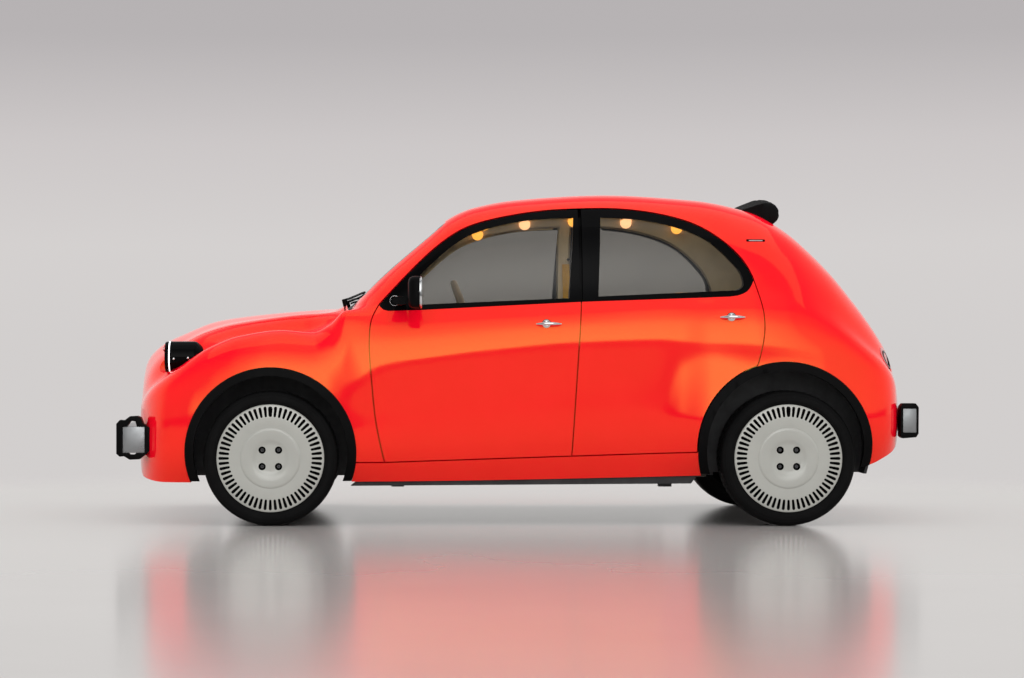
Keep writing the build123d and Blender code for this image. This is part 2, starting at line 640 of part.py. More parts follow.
TRIM_IN = hull(even(36.0), -1700, 1750)
trim_skin = without(TRIM_OUT, TRIM_IN)
arch_trims = []
for axle, lift, radius in ARCHES:
    ring = without(arch_cylinder(axle, lift, radius, across(LINER_OUTER_X) + SEAT_FIT),
                   arch_cylinder(axle, lift, radius - ARCH_TRIM_WIDTH))
    ring = without(ring, block((0, FAR), (-FAR, FAR), (-FAR, up(BODY_BOTTOM))))
    arch_trims.append(common(trim_skin, ring))
    arch_trims.append(mirrored(arch_trims[-1]))
save(Compound(children=arch_trims), "wheel_arch_trims")

# ---------------------------------------------------------------- bumpers
BEAM_END_X = 700.0
GUARD_X = (640.0, 676.0)


def beam(outer, inner, z):
    """Bumper bar curved in plan; outer and inner give its y at the middle and at its end."""
    end = across(BEAM_END_X)
    with BuildPart() as bar:
        with BuildSketch(Plane.XY.offset(up(z[0]))):
            with BuildLine():
                ThreePointArc((-end, along(outer[1])), (0, along(outer[0])), (end, along(outer[1])))
                Line((end, along(outer[1])), (end, along(inner[1])))
                ThreePointArc((end, along(inner[1])), (0, along(inner[0])), (-end, along(inner[1])))
                Line((-end, along(inner[1])), (-end, along(outer[1])))
            make_face()
        extrude(amount=up(z[1]) - up(z[0]))
    return bar.part


PLATE_HOLE_RADIUS = 3.25
PLATE_HOLE_SPACING = 240.0
PLATE_HOLE_DEPTH = 30.0
TOW_HOLE_RADIUS = 9.0
TOW_HOLE_DEPTH = 40.0
TOW_X = -440.0


def plate_holes(face_y, inward, z):
    """Two screw holes for a number plate in a bumper's outer face."""
    middle = up((z[0] + z[1]) / 2)
    return [rod(PLATE_HOLE_RADIUS, (x, face_y - inward * 20, middle),
                (x, face_y + inward * PLATE_HOLE_DEPTH, middle))
            for x in (-PLATE_HOLE_SPACING / 2, PLATE_HOLE_SPACING / 2)]


front_beam = beam((-1880, -1848), (-1830, -1742), FRONT_BEAM_Z)
tow_z = up((FRONT_BEAM_Z[0] + FRONT_BEAM_Z[1]) / 2)
tow_hole = rod(TOW_HOLE_RADIUS, (across(TOW_X), along(-1900), tow_z),
               (across(TOW_X), along(-1866) + TOW_HOLE_DEPTH, tow_z))
front_bracket = bracket((-1832, -1690), FRONT_BEAM_Z)
front_bumper = without(joined(front_beam, front_bracket, mirrored(front_bracket)),
                       *plate_holes(along(-1880), 1, FRONT_BEAM_Z), tow_hole)
save(front_bumper, "front_bumper")
rear_beam = beam((1880, 1874), (1848, 1802), REAR_BEAM_Z)
rear_bracket = bracket((1720, 1850), REAR_BEAM_Z)
rear_bumper = without(joined(rear_beam, rear_bracket, mirrored(rear_bracket)),
                      *plate_holes(along(1880), -1, REAR_BEAM_Z))
save(rear_bumper, "rear_bumper")


def guard(corners, hole_y, beam_z):
    """Six-sided ring round a bumper's end."""
    ring = side_prism(corners, across(GUARD_X[0]), across(GUARD_X[1]))
    return without(ring, slab(hole_y, beam_z, (0, FAR)))


def loop(points):
    return [[a, b] for a, b in zip(points, points[1:] + points[:1])]


front_guard = guard(loop([(-1878, 330), (-1860, 312), (-1760, 302), (-1724, 340), (-1722, 452),
                          (-1770, 507), (-1862, 498), (-1878, 476)]), (-1852, -1745), (334, 456))
front_guard = without(front_guard, common(OUTER, slab((-1900, -1600), (0, 900))),
                      front_beam)
rear_guard = guard(loop([(1792, 408), (1868, 407), (1879, 424), (1880, 548), (1866, 566),
                         (1800, 560)]), (1806, 1871), (429, 541))
rear_guard = without(rear_guard, common(OUTER, slab((1600, 1900), (0, 900))), rear_beam)
guards = [front_guard, mirrored(front_guard), rear_guard, mirrored(rear_guard)]
save(Compound(children=guards), "bumper_guards")

# ---------------------------------------------------------------- rolled canvas roof
ROLL_RADIUS = 58.0
ROLL_Y, ROLL_Z = 1214.0, 1500.0
ROLL_END_X, ROLL_DROP = 424.0, 34.0
with BuildPart() as canvas:
    with BuildLine() as crown_line:
        ThreePointArc((-across(ROLL_END_X), along(ROLL_Y), up(ROLL_Z - ROLL_DROP)),
                      (0, along(ROLL_Y), up(ROLL_Z)),
                      (across(ROLL_END_X), along(ROLL_Y), up(ROLL_Z - ROLL_DROP)))
    with BuildSketch(Plane(origin=crown_line.line @ 0, z_dir=crown_line.line % 0)):
        Circle(ROLL_RADIUS)
    sweep()
canvas_ramp = side_prism(loop([(1099, 1395), (1099, 1478), (1180, 1514), (1214, 1514), (1214, 1395)]),
                         -across(ROLL_END_X), across(ROLL_END_X))
roof_canvas = without(joined(canvas.part, canvas_ramp), hull(even(-SEAT_FIT), 900, 1600))
save(roof_canvas, "roof_canvas")

# ---------------------------------------------------------------- wheels and tyres
TYRE_SHOULDER = 22.0
BEAD_RADIUS = RIM_RADIUS
RIM_WIDTH = 176.0
COVER_FACE = 84.0
HUB_BOSS_RADIUS = 70.0
HUB_BOSS_DEPTH = 60.0
SPINDLE_DEPTH = 50.0
LUG_RECESS = 8.0


def turned(points, centre):
    """Ring turned about an axis along X through a true centre; points are (x, radius)."""
    with BuildPart() as ring:
        with BuildSketch(Plane.XY):
            Polygon(*points, align=None)
        revolve(axis=Axis.X)
    return ring.part.moved(Location(centre))


def tyre(centre):
    half, crown = TYRE_WIDTH / 2, TYRE_RADIUS
    bulge = (BEAD_RADIUS + crown) / 2
    profile = [(-half + 12, BEAD_RADIUS), (-half, bulge), (-half + 6, crown - TYRE_SHOULDER),
               (-half + TYRE_SHOULDER, crown - 4), (-30, crown), (30, crown),
               (half - TYRE_SHOULDER, crown - 4), (half - 6, crown - TYRE_SHOULDER),
               (half, bulge), (COVER_FACE - 2, COVER_RADIUS + 2.5), (COVER_FACE - 8, BEAD_RADIUS)]
    return turned(profile, centre)


def wheel(centre):
    """Left wheel: barrel, domed cover with lug holes, and the hub boss behind it."""
    half, face = RIM_WIDTH / 2, COVER_FACE
    back = face - DISC_THICKNESS
    barrel = RIM_RADIUS - RIM_WALL
    profile = [(-half, barrel), (-half, RIM_RADIUS), (face - 6, RIM_RADIUS), (face + 2, COVER_RADIUS),
               (face + 8, COVER_RADIUS), (face + 14, 150), (face + 12, 0.1), (back, 0.1),
               (back, HUB_BOSS_RADIUS), (back, barrel)]
    disc = turned(profile, centre)
    boss_back = back - HUB_BOSS_DEPTH
    x, y, z = centre
    boss = rod(HUB_BOSS_RADIUS, (x + boss_back, y, z), (x + back + 1, y, z))
    bore = rod(SPINDLE_RADIUS + RUNNING_CLEARANCE, (x + boss_back - 1, y, z),
               (x + boss_back + SPINDLE_DEPTH, y, z))
    lugs = []
    for k in range(BOLT_COUNT):
        turn = math.radians(45 + 360 * k / BOLT_COUNT)
        hole_y = y + BOLT_CIRCLE / 2 * math.cos(turn)
        hole_z = z + BOLT_CIRCLE / 2 * math.sin(turn)
        lugs.append(rod(LUG_HOLE_RADIUS, (x + face - LUG_RECESS, hole_y, hole_z),
                        (x + face + 40, hole_y, hole_z)))
    return without(joined(disc, boss), bore, *lugs)


FRONT_CENTRE = (WHEEL_X, FRONT_AXLE, TYRE_RADIUS)
REAR_CENTRE = (WHEEL_X, REAR_AXLE, TYRE_RADIUS)
for place, centre in (("front", FRONT_CENTRE), ("rear", REAR_CENTRE)):
    save_pair(tyre(centre), f"{place}_tyre")
    save_pair(wheel(centre), f"{place}_wheel")

# ---------------------------------------------------------------- steering, axles, power unit
ARM_HEIGHT = 112.0
EYE_HEIGHT = 24.0
EYE_RADIUS = 25.0
BLOCK_HALF = 78.0
ARM_WIDTH = 36.0
STRUT_X = 566.0
STRUT_RADIUS = 27.0
hub_back = WHEEL_X + COVER_FACE - DISC_THICKNESS - HUB_BOSS_DEPTH
spindle_tip = hub_back + SPINDLE_DEPTH - 2


def knuckle():
    """Upright with its kingpin and the wheel's spindle."""
    z = TYRE_RADIUS
    reach = ARM_HEIGHT + EYE_HEIGHT / 2
    pin = rod(KINGPIN_RADIUS, (KINGPIN_X, FRONT_AXLE, z - reach), (KINGPIN_X, FRONT_AXLE, z + reach))
    body = block((KINGPIN_X - 22, KINGPIN_X + 22), (FRONT_AXLE - 40, FRONT_AXLE + 40),
                 (z - BLOCK_HALF, z + BLOCK_HALF))
    spindle = rod(SPINDLE_RADIUS, (KINGPIN_X, FRONT_AXLE, z), (spindle_tip, FRONT_AXLE, z))
    return joined(pin, body, spindle)


def arm(z, inner_x):
    """Wishbone arm with the eye that holds one end of the kingpin."""
    half = EYE_HEIGHT / 2
    bar = block((inner_x, KINGPIN_X), (FRONT_AXLE - ARM_WIDTH / 2, FRONT_AXLE + ARM_WIDTH / 2),
                (z - half, z + half))
    eye = rod(EYE_RADIUS, (KINGPIN_X, FRONT_AXLE, z - half), (KINGPIN_X, FRONT_AXLE, z + half))
    bore = rod(KINGPIN_RADIUS + RUNNING_CLEARANCE, (KINGPIN_X, FRONT_AXLE, z - half - 1),
               (KINGPIN_X, FRONT_AXLE, z + half + 1))
    return without(joined(bar, eye), bore)


save_pair(knuckle(), "knuckle_front")
cradle_x = across(BUMPER_BRACKET_X) + RAIL_HALF
cradle_top = TYRE_RADIUS - ARM_HEIGHT + 30
cradle = block((-cradle_x, cradle_x), (FRONT_AXLE - 60, FRONT_AXLE + 60),
               (cradle_top - 60, cradle_top))
cradle_leg = block((cradle_x - 50, cradle_x), (FRONT_AXLE - 50, FRONT_AXLE + 50),
                   (cradle_top - 10, up(335)))
lower_arm = arm(TYRE_RADIUS - ARM_HEIGHT, cradle_x - 5)
upper_arm = arm(TYRE_RADIUS + ARM_HEIGHT, across(FRONT_LINER_X) + LINER_WALL)
strut = rod(STRUT_RADIUS, (across(STRUT_X), FRONT_AXLE, TYRE_RADIUS - ARM_HEIGHT),
            (across(STRUT_X), FRONT_AXLE, TYRE_RADIUS + 300))
corner = joined(cradle_leg, lower_arm, upper_arm, strut)
save(joined(cradle, corner, mirrored(corner)), "front_subframe")

AXLE_TUBE_RADIUS = 38.0
axle_end_x = hub_back - 14
axle_tube = rod(AXLE_TUBE_RADIUS, (-axle_end_x, REAR_AXLE, TYRE_RADIUS),
                (axle_end_x, REAR_AXLE, TYRE_RADIUS))
spindles = rod(SPINDLE_RADIUS, (-spindle_tip, REAR_AXLE, TYRE_RADIUS),
               (spindle_tip, REAR_AXLE, TYRE_RADIUS))
trailing_arm = block((across(400), across(460)), (along(BOOT_FLOOR_Y[0]), REAR_AXLE),
                     (TYRE_RADIUS - 26, TYRE_RADIUS + 26))
spring = rod(46.0, (across(500), REAR_AXLE, TYRE_RADIUS), (across(500), REAR_AXLE,
                                                           up(BOOT_FLOOR_Z[0])))
rear_corner_parts = joined(trailing_arm, spring)
save(joined(axle_tube, spindles, rear_corner_parts, mirrored(rear_corner_parts)), "rear_axle")

MOTOR = ((-280.0, 280.0), (-1430.0, -960.0), 640.0)
motor = block(MOTOR[0], (along(MOTOR[1][0]), along(MOTOR[1][1])), (cradle_top, up(MOTOR[2])))
save(motor, "motor")
battery = without(slab((-560, 740), (182, 300), (-560, 560)), OUTER)
save(battery, "battery_pack")

# ---------------------------------------------------------------- cabin fittings
DRIVER_X = 370.0
COLUMN_RADIUS = 20.0
COLUMN_TILT = 20.0
STEERING_RIM_RADIUS = 180.0
STEERING_GRIP_RADIUS = 14.0
STEERING_HUB_RADIUS = 52.0
STEERING_CENTRE = (-230.0, 967.0)
wheel_hub = Vector(across(DRIVER_X), along(STEERING_CENTRE[0]), up(STEERING_CENTRE[1]))
column = Vector(0, math.cos(math.radians(COLUMN_TILT)), math.sin(math.radians(COLUMN_TILT)))

dash_profile = loop([(-762, 700), (-690, 640), (-560, 640), (-486, 760), (-468, 880), (-486, 930),
                     (-560, 944), (-690, 938), (-762, 905)])
dash = side_prism(dash_profile, -across(640), across(640))
shroud = rod(36.0, wheel_hub - column * 300, wheel_hub - column * 170)
bore = rod(COLUMN_RADIUS + RUNNING_CLEARANCE, wheel_hub - column * 262, wheel_hub)
save(without(joined(dash, shroud), bore), "dashboard")

with BuildPart() as steering_wheel:
    with BuildSketch(Plane(origin=wheel_hub, x_dir=(1, 0, 0), z_dir=column)):
        Circle(STEERING_HUB_RADIUS)
        Rectangle(2 * STEERING_RIM_RADIUS, 34)
    extrude(amount=-18)
    with Locations(Plane(origin=wheel_hub, x_dir=(1, 0, 0), z_dir=column)):
        Torus(STEERING_RIM_RADIUS, STEERING_GRIP_RADIUS)
steering = joined(steering_wheel.part, rod(COLUMN_RADIUS, wheel_hub - column * 260, wheel_hub))
save(steering, "steering_wheel")

SEAT_HALF_WIDTH = 245.0
front_seat_profile = loop([(-150, 330), (-160, 470), (-60, 500), (300, 470), (385, 900), (420, 956),
                           (462, 950), (480, 900), (400, 430), (390, 330)])
front_seat = joined(side_prism(front_seat_profile, across(DRIVER_X - SEAT_HALF_WIDTH),
                               across(DRIVER_X + SEAT_HALF_WIDTH)),
                    slab((-80, 330), (210, 335), (DRIVER_X - 200, DRIVER_X + 200)))
front_seat = common(front_seat, CABIN)
save(Compound(children=[front_seat, mirrored(front_seat)]), "front_seats")
rear_seat_profile = loop([(600, 210), (590, 470), (660, 500), (930, 480), (1000, 880), (1040, 936),
                          (1080, 930), (1095, 880), (1030, 457), (909, 457), (909, 210)])
rear_seat = common(side_prism(rear_seat_profile, -across(560), across(560)), CABIN)
save(rear_seat, "rear_seat")

MIRROR_HEAD = ((790.0, 930.0), (-514.0, -446.0), (1008.0, 1158.0))
with BuildPart() as mirror_head:
    add(block([across(x) for x in MIRROR_HEAD[0]], [along(y) for y in MIRROR_HEAD[1]],
              [up(z) for z in MIRROR_HEAD[2]]))
    fillet(mirror_head.edges(), 22.0)
mirror_arm = without(rod(24.0, (across(700), along(-540), up(1044)),
                         (across(800), along(-515), up(1050))), OUTER)
save_pair(joined(mirror_head.part, mirror_arm), "mirror")
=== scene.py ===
"""Looks of the four-door hatchback: smooth panels cut from one body surface, detailed fittings,
materials, a pale studio and the camera. Metres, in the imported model's frame.
The shapes below are chosen in millimetres and scaled once, when a mesh is made.
"""
import bpy
import bmesh
import math
import random
import numpy as np
from mathutils import Matrix, Vector
from mathutils.bvhtree import BVHTree


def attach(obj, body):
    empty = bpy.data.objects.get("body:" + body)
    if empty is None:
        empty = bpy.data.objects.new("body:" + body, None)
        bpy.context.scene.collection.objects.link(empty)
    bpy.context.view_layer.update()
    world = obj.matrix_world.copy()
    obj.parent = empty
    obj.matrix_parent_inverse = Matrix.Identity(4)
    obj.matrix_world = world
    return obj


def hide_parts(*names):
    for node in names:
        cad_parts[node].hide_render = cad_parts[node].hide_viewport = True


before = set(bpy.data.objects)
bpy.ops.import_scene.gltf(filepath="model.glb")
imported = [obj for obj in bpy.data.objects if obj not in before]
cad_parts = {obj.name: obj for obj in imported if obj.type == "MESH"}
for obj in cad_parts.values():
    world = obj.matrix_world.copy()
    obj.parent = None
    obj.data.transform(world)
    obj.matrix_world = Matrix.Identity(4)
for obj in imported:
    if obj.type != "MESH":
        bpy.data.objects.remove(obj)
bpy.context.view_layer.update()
SCENE = bpy.context.scene
MM = 0.001
FAR, SIDE_X = 2000.0, (300.0, 1100.0)
SLOT_COUNT = 6

# ---------------------------------------------------------------- the body's guide curves (mm)
CREASE_Y = -790.0
NOSE_Y, NOSE_START = -1812.0, -1480.0
TAIL_Y, TAIL_START = 1832.0, 1440.0
# the two powers that round each end off in plan, and the least share of width left
NOSE_ROUNDING, TAIL_ROUNDING, NARROWEST = (3.6, 0.4), (6.6, 0.36), 0.012
SILL_X = [(-1812, 775), (-1150, 790), (-700, 748), (300, 740), (850, 748), (1250, 785), (1832, 775)]
SILL_Z = [(-1812, 330), (-1796, 262), (-1765, 216), (-1650, 200), (-752, 202), (841, 230),
          (1540, 262), (1640, 284), (1700, 312), (1775, 356), (1812, 400), (1832, 444)]
FLANK_X = [(-1812, 815), (-1500, 838), (-1150, 850), (-900, 840), (-700, 811), (-450, 800),
           (0, 795), (450, 795), (640, 800), (760, 818), (920, 842), (1120, 852), (1400, 850),
           (1832, 815)]
HIP_X = [(-1812, 800), (-1500, 825), (-1150, 843), (-900, 833), (-700, 812), (-450, 802),
         (0, 797), (450, 797), (640, 801), (760, 812), (920, 832), (1120, 845), (1400, 842),
         (1832, 800)]
HIP_Z = [(-1812, 470), (-1714, 560), (-1600, 625), (-1400, 695), (-1150, 718), (-850, 695),
         (-600, 693), (-160, 755), (300, 808), (700, 816), (1000, 808), (1250, 790), (1480, 750),
         (1640, 690), (1760, 622), (1832, 505)]
BELT_X = [(-1812, 770), (-1600, 742), (-1350, 728), (-1100, 718), (-950, 716), (-790, 737),
          (300, 742), (800, 758), (1100, 785), (1300, 785), (1550, 755), (1832, 700)]
BELT_Z = [(-1812, 520), (-1714, 634), (-1600, 720), (-1444, 826), (-1300, 882), (-1100, 909),
          (-960, 900), (-880, 935), (-800, 1000), (-441, 1012), (292, 1045), (1011, 1072),
          (1250, 1060), (1450, 980), (1620, 850), (1750, 728), (1808, 640), (1832, 550)]
VALLEY_X = [(-1812, 700), (-1600, 655), (-1000, 650), (-790, 696)]
VALLEY_Z = [(-1812, 545), (-1714, 655), (-1600, 734), (-1480, 802), (-1340, 862), (-1150, 887),
            (-1000, 896), (-890, 930), (-790, 1000)]
BONNET_EDGE_X = [(-1812, 600), (-1600, 582), (-1000, 588), (-790, 661)]
BONNET_EDGE_Z = [(-1812, 596), (-1714, 722), (-1600, 795), (-1496, 857), (-1349, 911),
                 (-1100, 950), (-837, 981), (-790, 996)]
BONNET_RAIL_X = [(-1812, 430), (-1000, 445), (-790, 630)]
RAIL_X = [(-790, 640), (-424, 600), (-300, 565), (0, 545), (500, 540), (1000, 536), (1250, 545),
          (1480, 580), (1832, 600)]
RAIL_Z = [(-790, 993), (-633, 1143), (-420, 1324), (-310, 1418), (-200, 1466), (0, 1501),
          (428, 1525), (860, 1500), (1121, 1442), (1272, 1360), (1478, 1168), (1600, 1020),
          (1700, 886), (1770, 778), (1812, 690), (1832, 590)]
FRONT_CROWN_Z = [(-1812, 650), (-1806, 722), (-1792, 766), (-1756, 812), (-1700, 853),
                 (-1600, 900), (-1453, 956), (-1300, 981), (-1100, 1001), (-790, 1024)]
CABIN_CROWN_Z = [(-790, 1029), (-620, 1184), (-424, 1356), (-340, 1428), (-290, 1463), (-215, 1495),
                 (-60, 1536), (150, 1560), (428, 1571), (860, 1547), (1121, 1500), (1272, 1424),
                 (1478, 1234), (1600, 1090), (1700, 942), (1770, 824), (1812, 724), (1832, 620)]
STATIONS = [-1812, -1806, -1796, -1780, -1757, -1724, -1680, -1620, -1540, -1440, -1330, -1210,
            -1090, -990, -940, -893, -846, CREASE_Y, -728, -640, -530, -425, -368, -318, -264,
            -190, -90, 60, 240, 430, 610, 780, 910, 1040, 1130, 1215, 1290, 1370, 1460, 1550,
            1630, 1697, 1745, 1782, 1807, 1822, TAIL_Y]


def mix(a, b, share):
    return a + (b - a) * share


def flow(points, y):
    """Value at y of the smooth curve through (y, value) points, which overshoots none of them."""
    if y <= points[0][0]:
        return points[0][1]
    if y >= points[-1][0]:
        return points[-1][1]
    steps = [b[0] - a[0] for a, b in zip(points, points[1:])]
    slopes = [(b[1] - a[1]) / h for a, b, h in zip(points, points[1:], steps)]
    tangents = [slopes[0]]
    for before, after in zip(slopes, slopes[1:]):
        tangents.append(0.0 if before * after <= 0 else 2 * before * after / (before + after))
    tangents.append(slopes[-1])
    i = max(k for k in range(len(steps)) if points[k][0] <= y)
    h, t = steps[i], (y - points[i][0]) / steps[i]
    return ((1 + 2 * t) * (1 - t) ** 2 * points[i][1] + t * (1 - t) ** 2 * h * tangents[i]
            + t * t * (3 - 2 * t) * points[i + 1][1] - t * t * (1 - t) * h * tangents[i + 1])


def plan_share(y):
    """Share of its full width that the body keeps at y, where its ends round off in plan."""
    if y < NOSE_START:
        part, (power, root) = (NOSE_START - y) / (NOSE_START - NOSE_Y), NOSE_ROUNDING
    elif y > TAIL_START:
        part, (power, root) = (y - TAIL_START) / (TAIL_Y - TAIL_START), TAIL_ROUNDING
    else:
        return 1.0
    return max(1 - part ** power, NARROWEST) ** root


def half_section(y):
    """Points (x, z) of the body's left half at y, from the sill up to the middle of the top."""
    sill = (flow(SILL_X, y), flow(SILL_Z, y))
    hip = (flow(HIP_X, y), flow(HIP_Z, y))
    belt = (flow(BELT_X, y), flow(BELT_Z, y))
    flank_x = flow(FLANK_X, y)
    lower = [sill, (flank_x - 16, mix(sill[1], hip[1], 0.2)), (flank_x, mix(sill[1], hip[1], 0.6)),
             hip, (mix(belt[0], hip[0], 0.6), mix(hip[1], belt[1], 0.74)), belt]
    if y < CREASE_Y:
        valley = (flow(VALLEY_X, y), flow(VALLEY_Z, y))
        edge = (flow(BONNET_EDGE_X, y), flow(BONNET_EDGE_Z, y))
        crown = flow(FRONT_CROWN_Z, y)
        rail_x = flow(BONNET_RAIL_X, y)
        upper = [valley, edge, (rail_x, mix(edge[1], crown, 0.5)),
                 (rail_x * 0.52, mix(edge[1], crown, 0.87)), (0.0, crown)]
    else:
        rail = (flow(RAIL_X, y), flow(RAIL_Z, y))
        crown = flow(CABIN_CROWN_Z, y)
        rise = rail[1] - belt[1]
        upper = [(mix(belt[0], rail[0], 0.43) + 0.092 * rise, belt[1] + 0.43 * rise),
                 (mix(belt[0], rail[0], 0.78) + 0.106 * rise, belt[1] + 0.78 * rise), rail,
                 (rail[0] * 0.55, mix(crown, rail[1], 0.3)), (0.0, crown)]
    share = plan_share(y)
    return [(x * share, z) for x, z in lower + upper]


def inset_section(y, depths):
    """The half section moved inwards, each of its points by its own depth."""
    outer = half_section(y)
    inset = []
    for i, (x, z) in enumerate(outer):
        before = outer[max(i - 1, 0)]
        after = outer[min(i + 1, len(outer) - 1)]
        if i == len(outer) - 1:
            after = (-before[0], before[1])
        dx, dz = after[0] - before[0], after[1] - before[1]
        size = math.hypot(dx, dz)
        inset.append((x - dz / size * depths[i], z + dx / size * depths[i]))
    return inset


def through(points, count):
    """Smooth curve through the points, count samples to each gap."""
    p = np.array(points, float)
    t = np.concatenate([[0], np.cumsum(np.linalg.norm(np.diff(p, axis=0), axis=1))])
    n, h = len(p), np.diff(t)
    a, r = np.zeros((n, n)), np.zeros((n, p.shape[1]))
    a[0, 0] = a[-1, -1] = 1
    for i in range(1, n - 1):
        a[i, i - 1:i + 2] = h[i - 1], 2 * (h[i - 1] + h[i]), h[i]
        r[i] = 6 * ((p[i + 1] - p[i]) / h[i] - (p[i] - p[i - 1]) / h[i - 1])
    m = np.linalg.solve(a, r)
    out = []
    for i in range(n - 1):
        for k in range(count):
            u = k / count * h[i]
            v = h[i] - u
            out.append((m[i] * v ** 3 + m[i + 1] * u ** 3) / (6 * h[i])
                       + (p[i] / h[i] - m[i] * h[i] / 6) * v + (p[i + 1] / h[i] - m[i + 1] * h[i] / 6) * u)
    out.append(p[-1])
    return np.array(out)


# ---------------------------------------------------------------- meshes
def circle(count):
    """Angles evenly round a circle."""
    return [2 * math.pi * k / count for k in range(count)]


def ring_faces(rings, count, around=False):
    """Faces of a skin through rings of count points, capped at both ends or closed on itself."""
    faces = []
    for i in range(rings if around else rings - 1):
        a, b = i * count, (i + 1) % rings * count
        faces += [(a + k, a + (k + 1) % count, b + (k + 1) % count, b + k) for k in range(count)]
    if not around:
        last = (rings - 1) * count
        faces += [tuple(range(count - 1, -1, -1)), tuple(range(last, last + count))]
    return faces


def make_mesh(verts, faces, slot=0):
    """Closed mesh of points in metres, its faces outward and all in one material slot."""
    mesh = bpy.data.meshes.new("shape")
    mesh.from_pydata([tuple(v) for v in verts], [], faces)
    mesh.update()
    bm = bmesh.new()
    bm.from_mesh(mesh)
    if bm.calc_volume(signed=True) < 0:
        bmesh.ops.reverse_faces(bm, faces=bm.faces)
    for face in bm.faces:
        face.material_index = slot
    bm.to_mesh(mesh)
    bm.free()
    return mesh


def rings_mesh(rings, slot=0):
    """Closed skin through equal rings of points (mm), with a cap at each end."""
    verts = [Vector(p) * MM for ring in rings for p in ring]
    return make_mesh(verts, ring_faces(len(rings), len(rings[0])), slot)


def stations(first, last, step):
    """The body's stations between two places, each gap divided into steps at most this long."""
    kept = [float(s) for s in STATIONS if first <= s <= last]
    out = []
    for a, b in zip(kept, kept[1:]):
        count = max(1, math.ceil((b - a) / step))
        out += [a + (b - a) * k / count for k in range(count)]
    return out + [kept[-1]]


def hull_grid(depths, first=-FAR, last=FAR, belly=0.0, step=40.0, count=3):
    """Rows of points (metres) over the body surface at a depth, with its bottom raised by belly."""
    rows = []
    for y in stations(first, last, step):
        half = inset_section(y, depths)
        half[0] = (half[0][0], half[0][1] + belly)
        ring = [(-x, z) for x, z in half] + [(x, z) for x, z in reversed(half[:-1])]
        rows.append([(x, y, z) for x, z in through(ring, count)])
    return np.array(rows) * MM


def hull(depths, first=-FAR, last=FAR, belly=0.0, step=40.0, count=3, slot=0):
    """Closed body of the car's surface at a depth, between two places along it."""
    grid = hull_grid(depths, first, last, belly, step, count)
    return make_mesh(grid.reshape(-1, 3), ring_faces(*grid.shape[:2]), slot)


def grown(runs, margin):
    """A closed outline, given as runs that end where the next begins, moved out by a margin."""
    corners = [run[0] for run in runs]
    area = sum(a[0] * b[1] - b[0] * a[1] for a, b in zip(corners, corners[1:] + corners[:1]))
    side = margin if area > 0 else -margin

    def heading(a, b):
        size = math.dist(a, b)
        return ((b[0] - a[0]) / size, (b[1] - a[1]) / size)

    def pushed(point, before, after):
        share = side / (1 + before[0] * after[0] + before[1] * after[1])
        return (point[0] + share * (before[1] + after[1]),
                point[1] - share * (before[0] + after[0]))

    result = []
    for i, run in enumerate(runs):
        previous, following = runs[i - 1], runs[(i + 1) % len(runs)]
        legs = [heading(a, b) for a, b in zip(run, run[1:])]
        before = [heading(previous[-2], previous[-1])] + legs
        after = legs + [heading(following[0], following[1])]
        result.append([pushed(*step) for step in zip(run, before, after)])
    return result


def outline(runs, margin=0.0, count=10):
    """Points of a closed outline whose long runs are curves."""
    points = []
    for run in grown(runs, margin):
        curve = through(run, count) if len(run) > 2 else np.array(run, float)
        points += [tuple(p) for p in curve[:-1]]
    return points


def prism(points, low, high, axis, slot=2):
    """Upright prism over 2D points, along axis 0 (points are y, z), 1 (x, z) or 2 (x, y)."""
    def place(p, d):
        return {0: (d, p[0], p[1]), 1: (p[0], d, p[1]), 2: (p[0], p[1], d)}[axis]
    return rings_mesh([[place(p, d) for p in points] for d in (low, high)], slot)


def side_prism(runs, margin=0.0):
    """Left side's cutter through an outline of (y, z)."""
    return prism(outline(runs, margin), *SIDE_X, 0)


def both_sides(points):
    """Runs of a closed outline, of which points (x, other) are the half with x of 0 and more."""
    loop = points + [(-x, other) for x, other in reversed(points) if x]
    return [[a, b] for a, b in zip(loop, loop[1:] + loop[:1])]


def plan_prism(points, low, high, margin=0.0):
    return prism(outline(both_sides(points), margin), low, high, 2)


def end_prism(points, low, high, margin=0.0):
    return prism(outline(both_sides(points), margin), low, high, 1)


def block(x, y, z):
    return prism([(x[0], y[0]), (x[1], y[0]), (x[1], y[1]), (x[0], y[1])], z[0], z[1], 2)


def slab(y, z, x=(-FAR, FAR)):
    """A block given by its y and z first, right across the car unless x says otherwise."""
    return block(x, y, z)


def rod(radius, start, end, count=96, slot=2):
    """Round bar between two points (mm)."""
    start, end = Vector(start), Vector(end)
    turn = (end - start).to_track_quat("Z", "Y").to_matrix()
    return rings_mesh([[centre + turn @ Vector((math.cos(a), math.sin(a), 0)) * radius
                        for a in circle(count)] for centre in (start, end)], slot)


def modified(mesh, *steps):
    """The mesh after modifiers, each given as (type, {settings})."""
    work = bpy.data.objects.new("work", mesh)
    SCENE.collection.objects.link(work)
    for kind, settings in steps:
        modifier = work.modifiers.new(kind, kind)
        for key, value in settings.items():
            setattr(modifier, key, value)
    graph = bpy.context.evaluated_depsgraph_get()
    result = bpy.data.meshes.new_from_object(work.evaluated_get(graph))
    bpy.data.objects.remove(work)
    return result


def combine(base, tools, operation):
    """The base mesh after one boolean with each tool mesh in turn; faces keep their slots."""
    for mesh in (base, *tools):
        while len(mesh.materials) < SLOT_COUNT:
            mesh.materials.append(None)
    others = [bpy.data.objects.new("tool", tool) for tool in tools]
    for other in others:
        SCENE.collection.objects.link(other)
    result = modified(base, *[("BOOLEAN", {"operation": operation, "solver": "MANIFOLD",
                                           "object": other, "material_mode": "INDEX"}) for other in others])
    for other in others:
        bpy.data.objects.remove(other)
    if not len(result.polygons):
        raise RuntimeError("a boolean left nothing")
    return result


def common(a, b):
    return combine(a, [b], "INTERSECT")


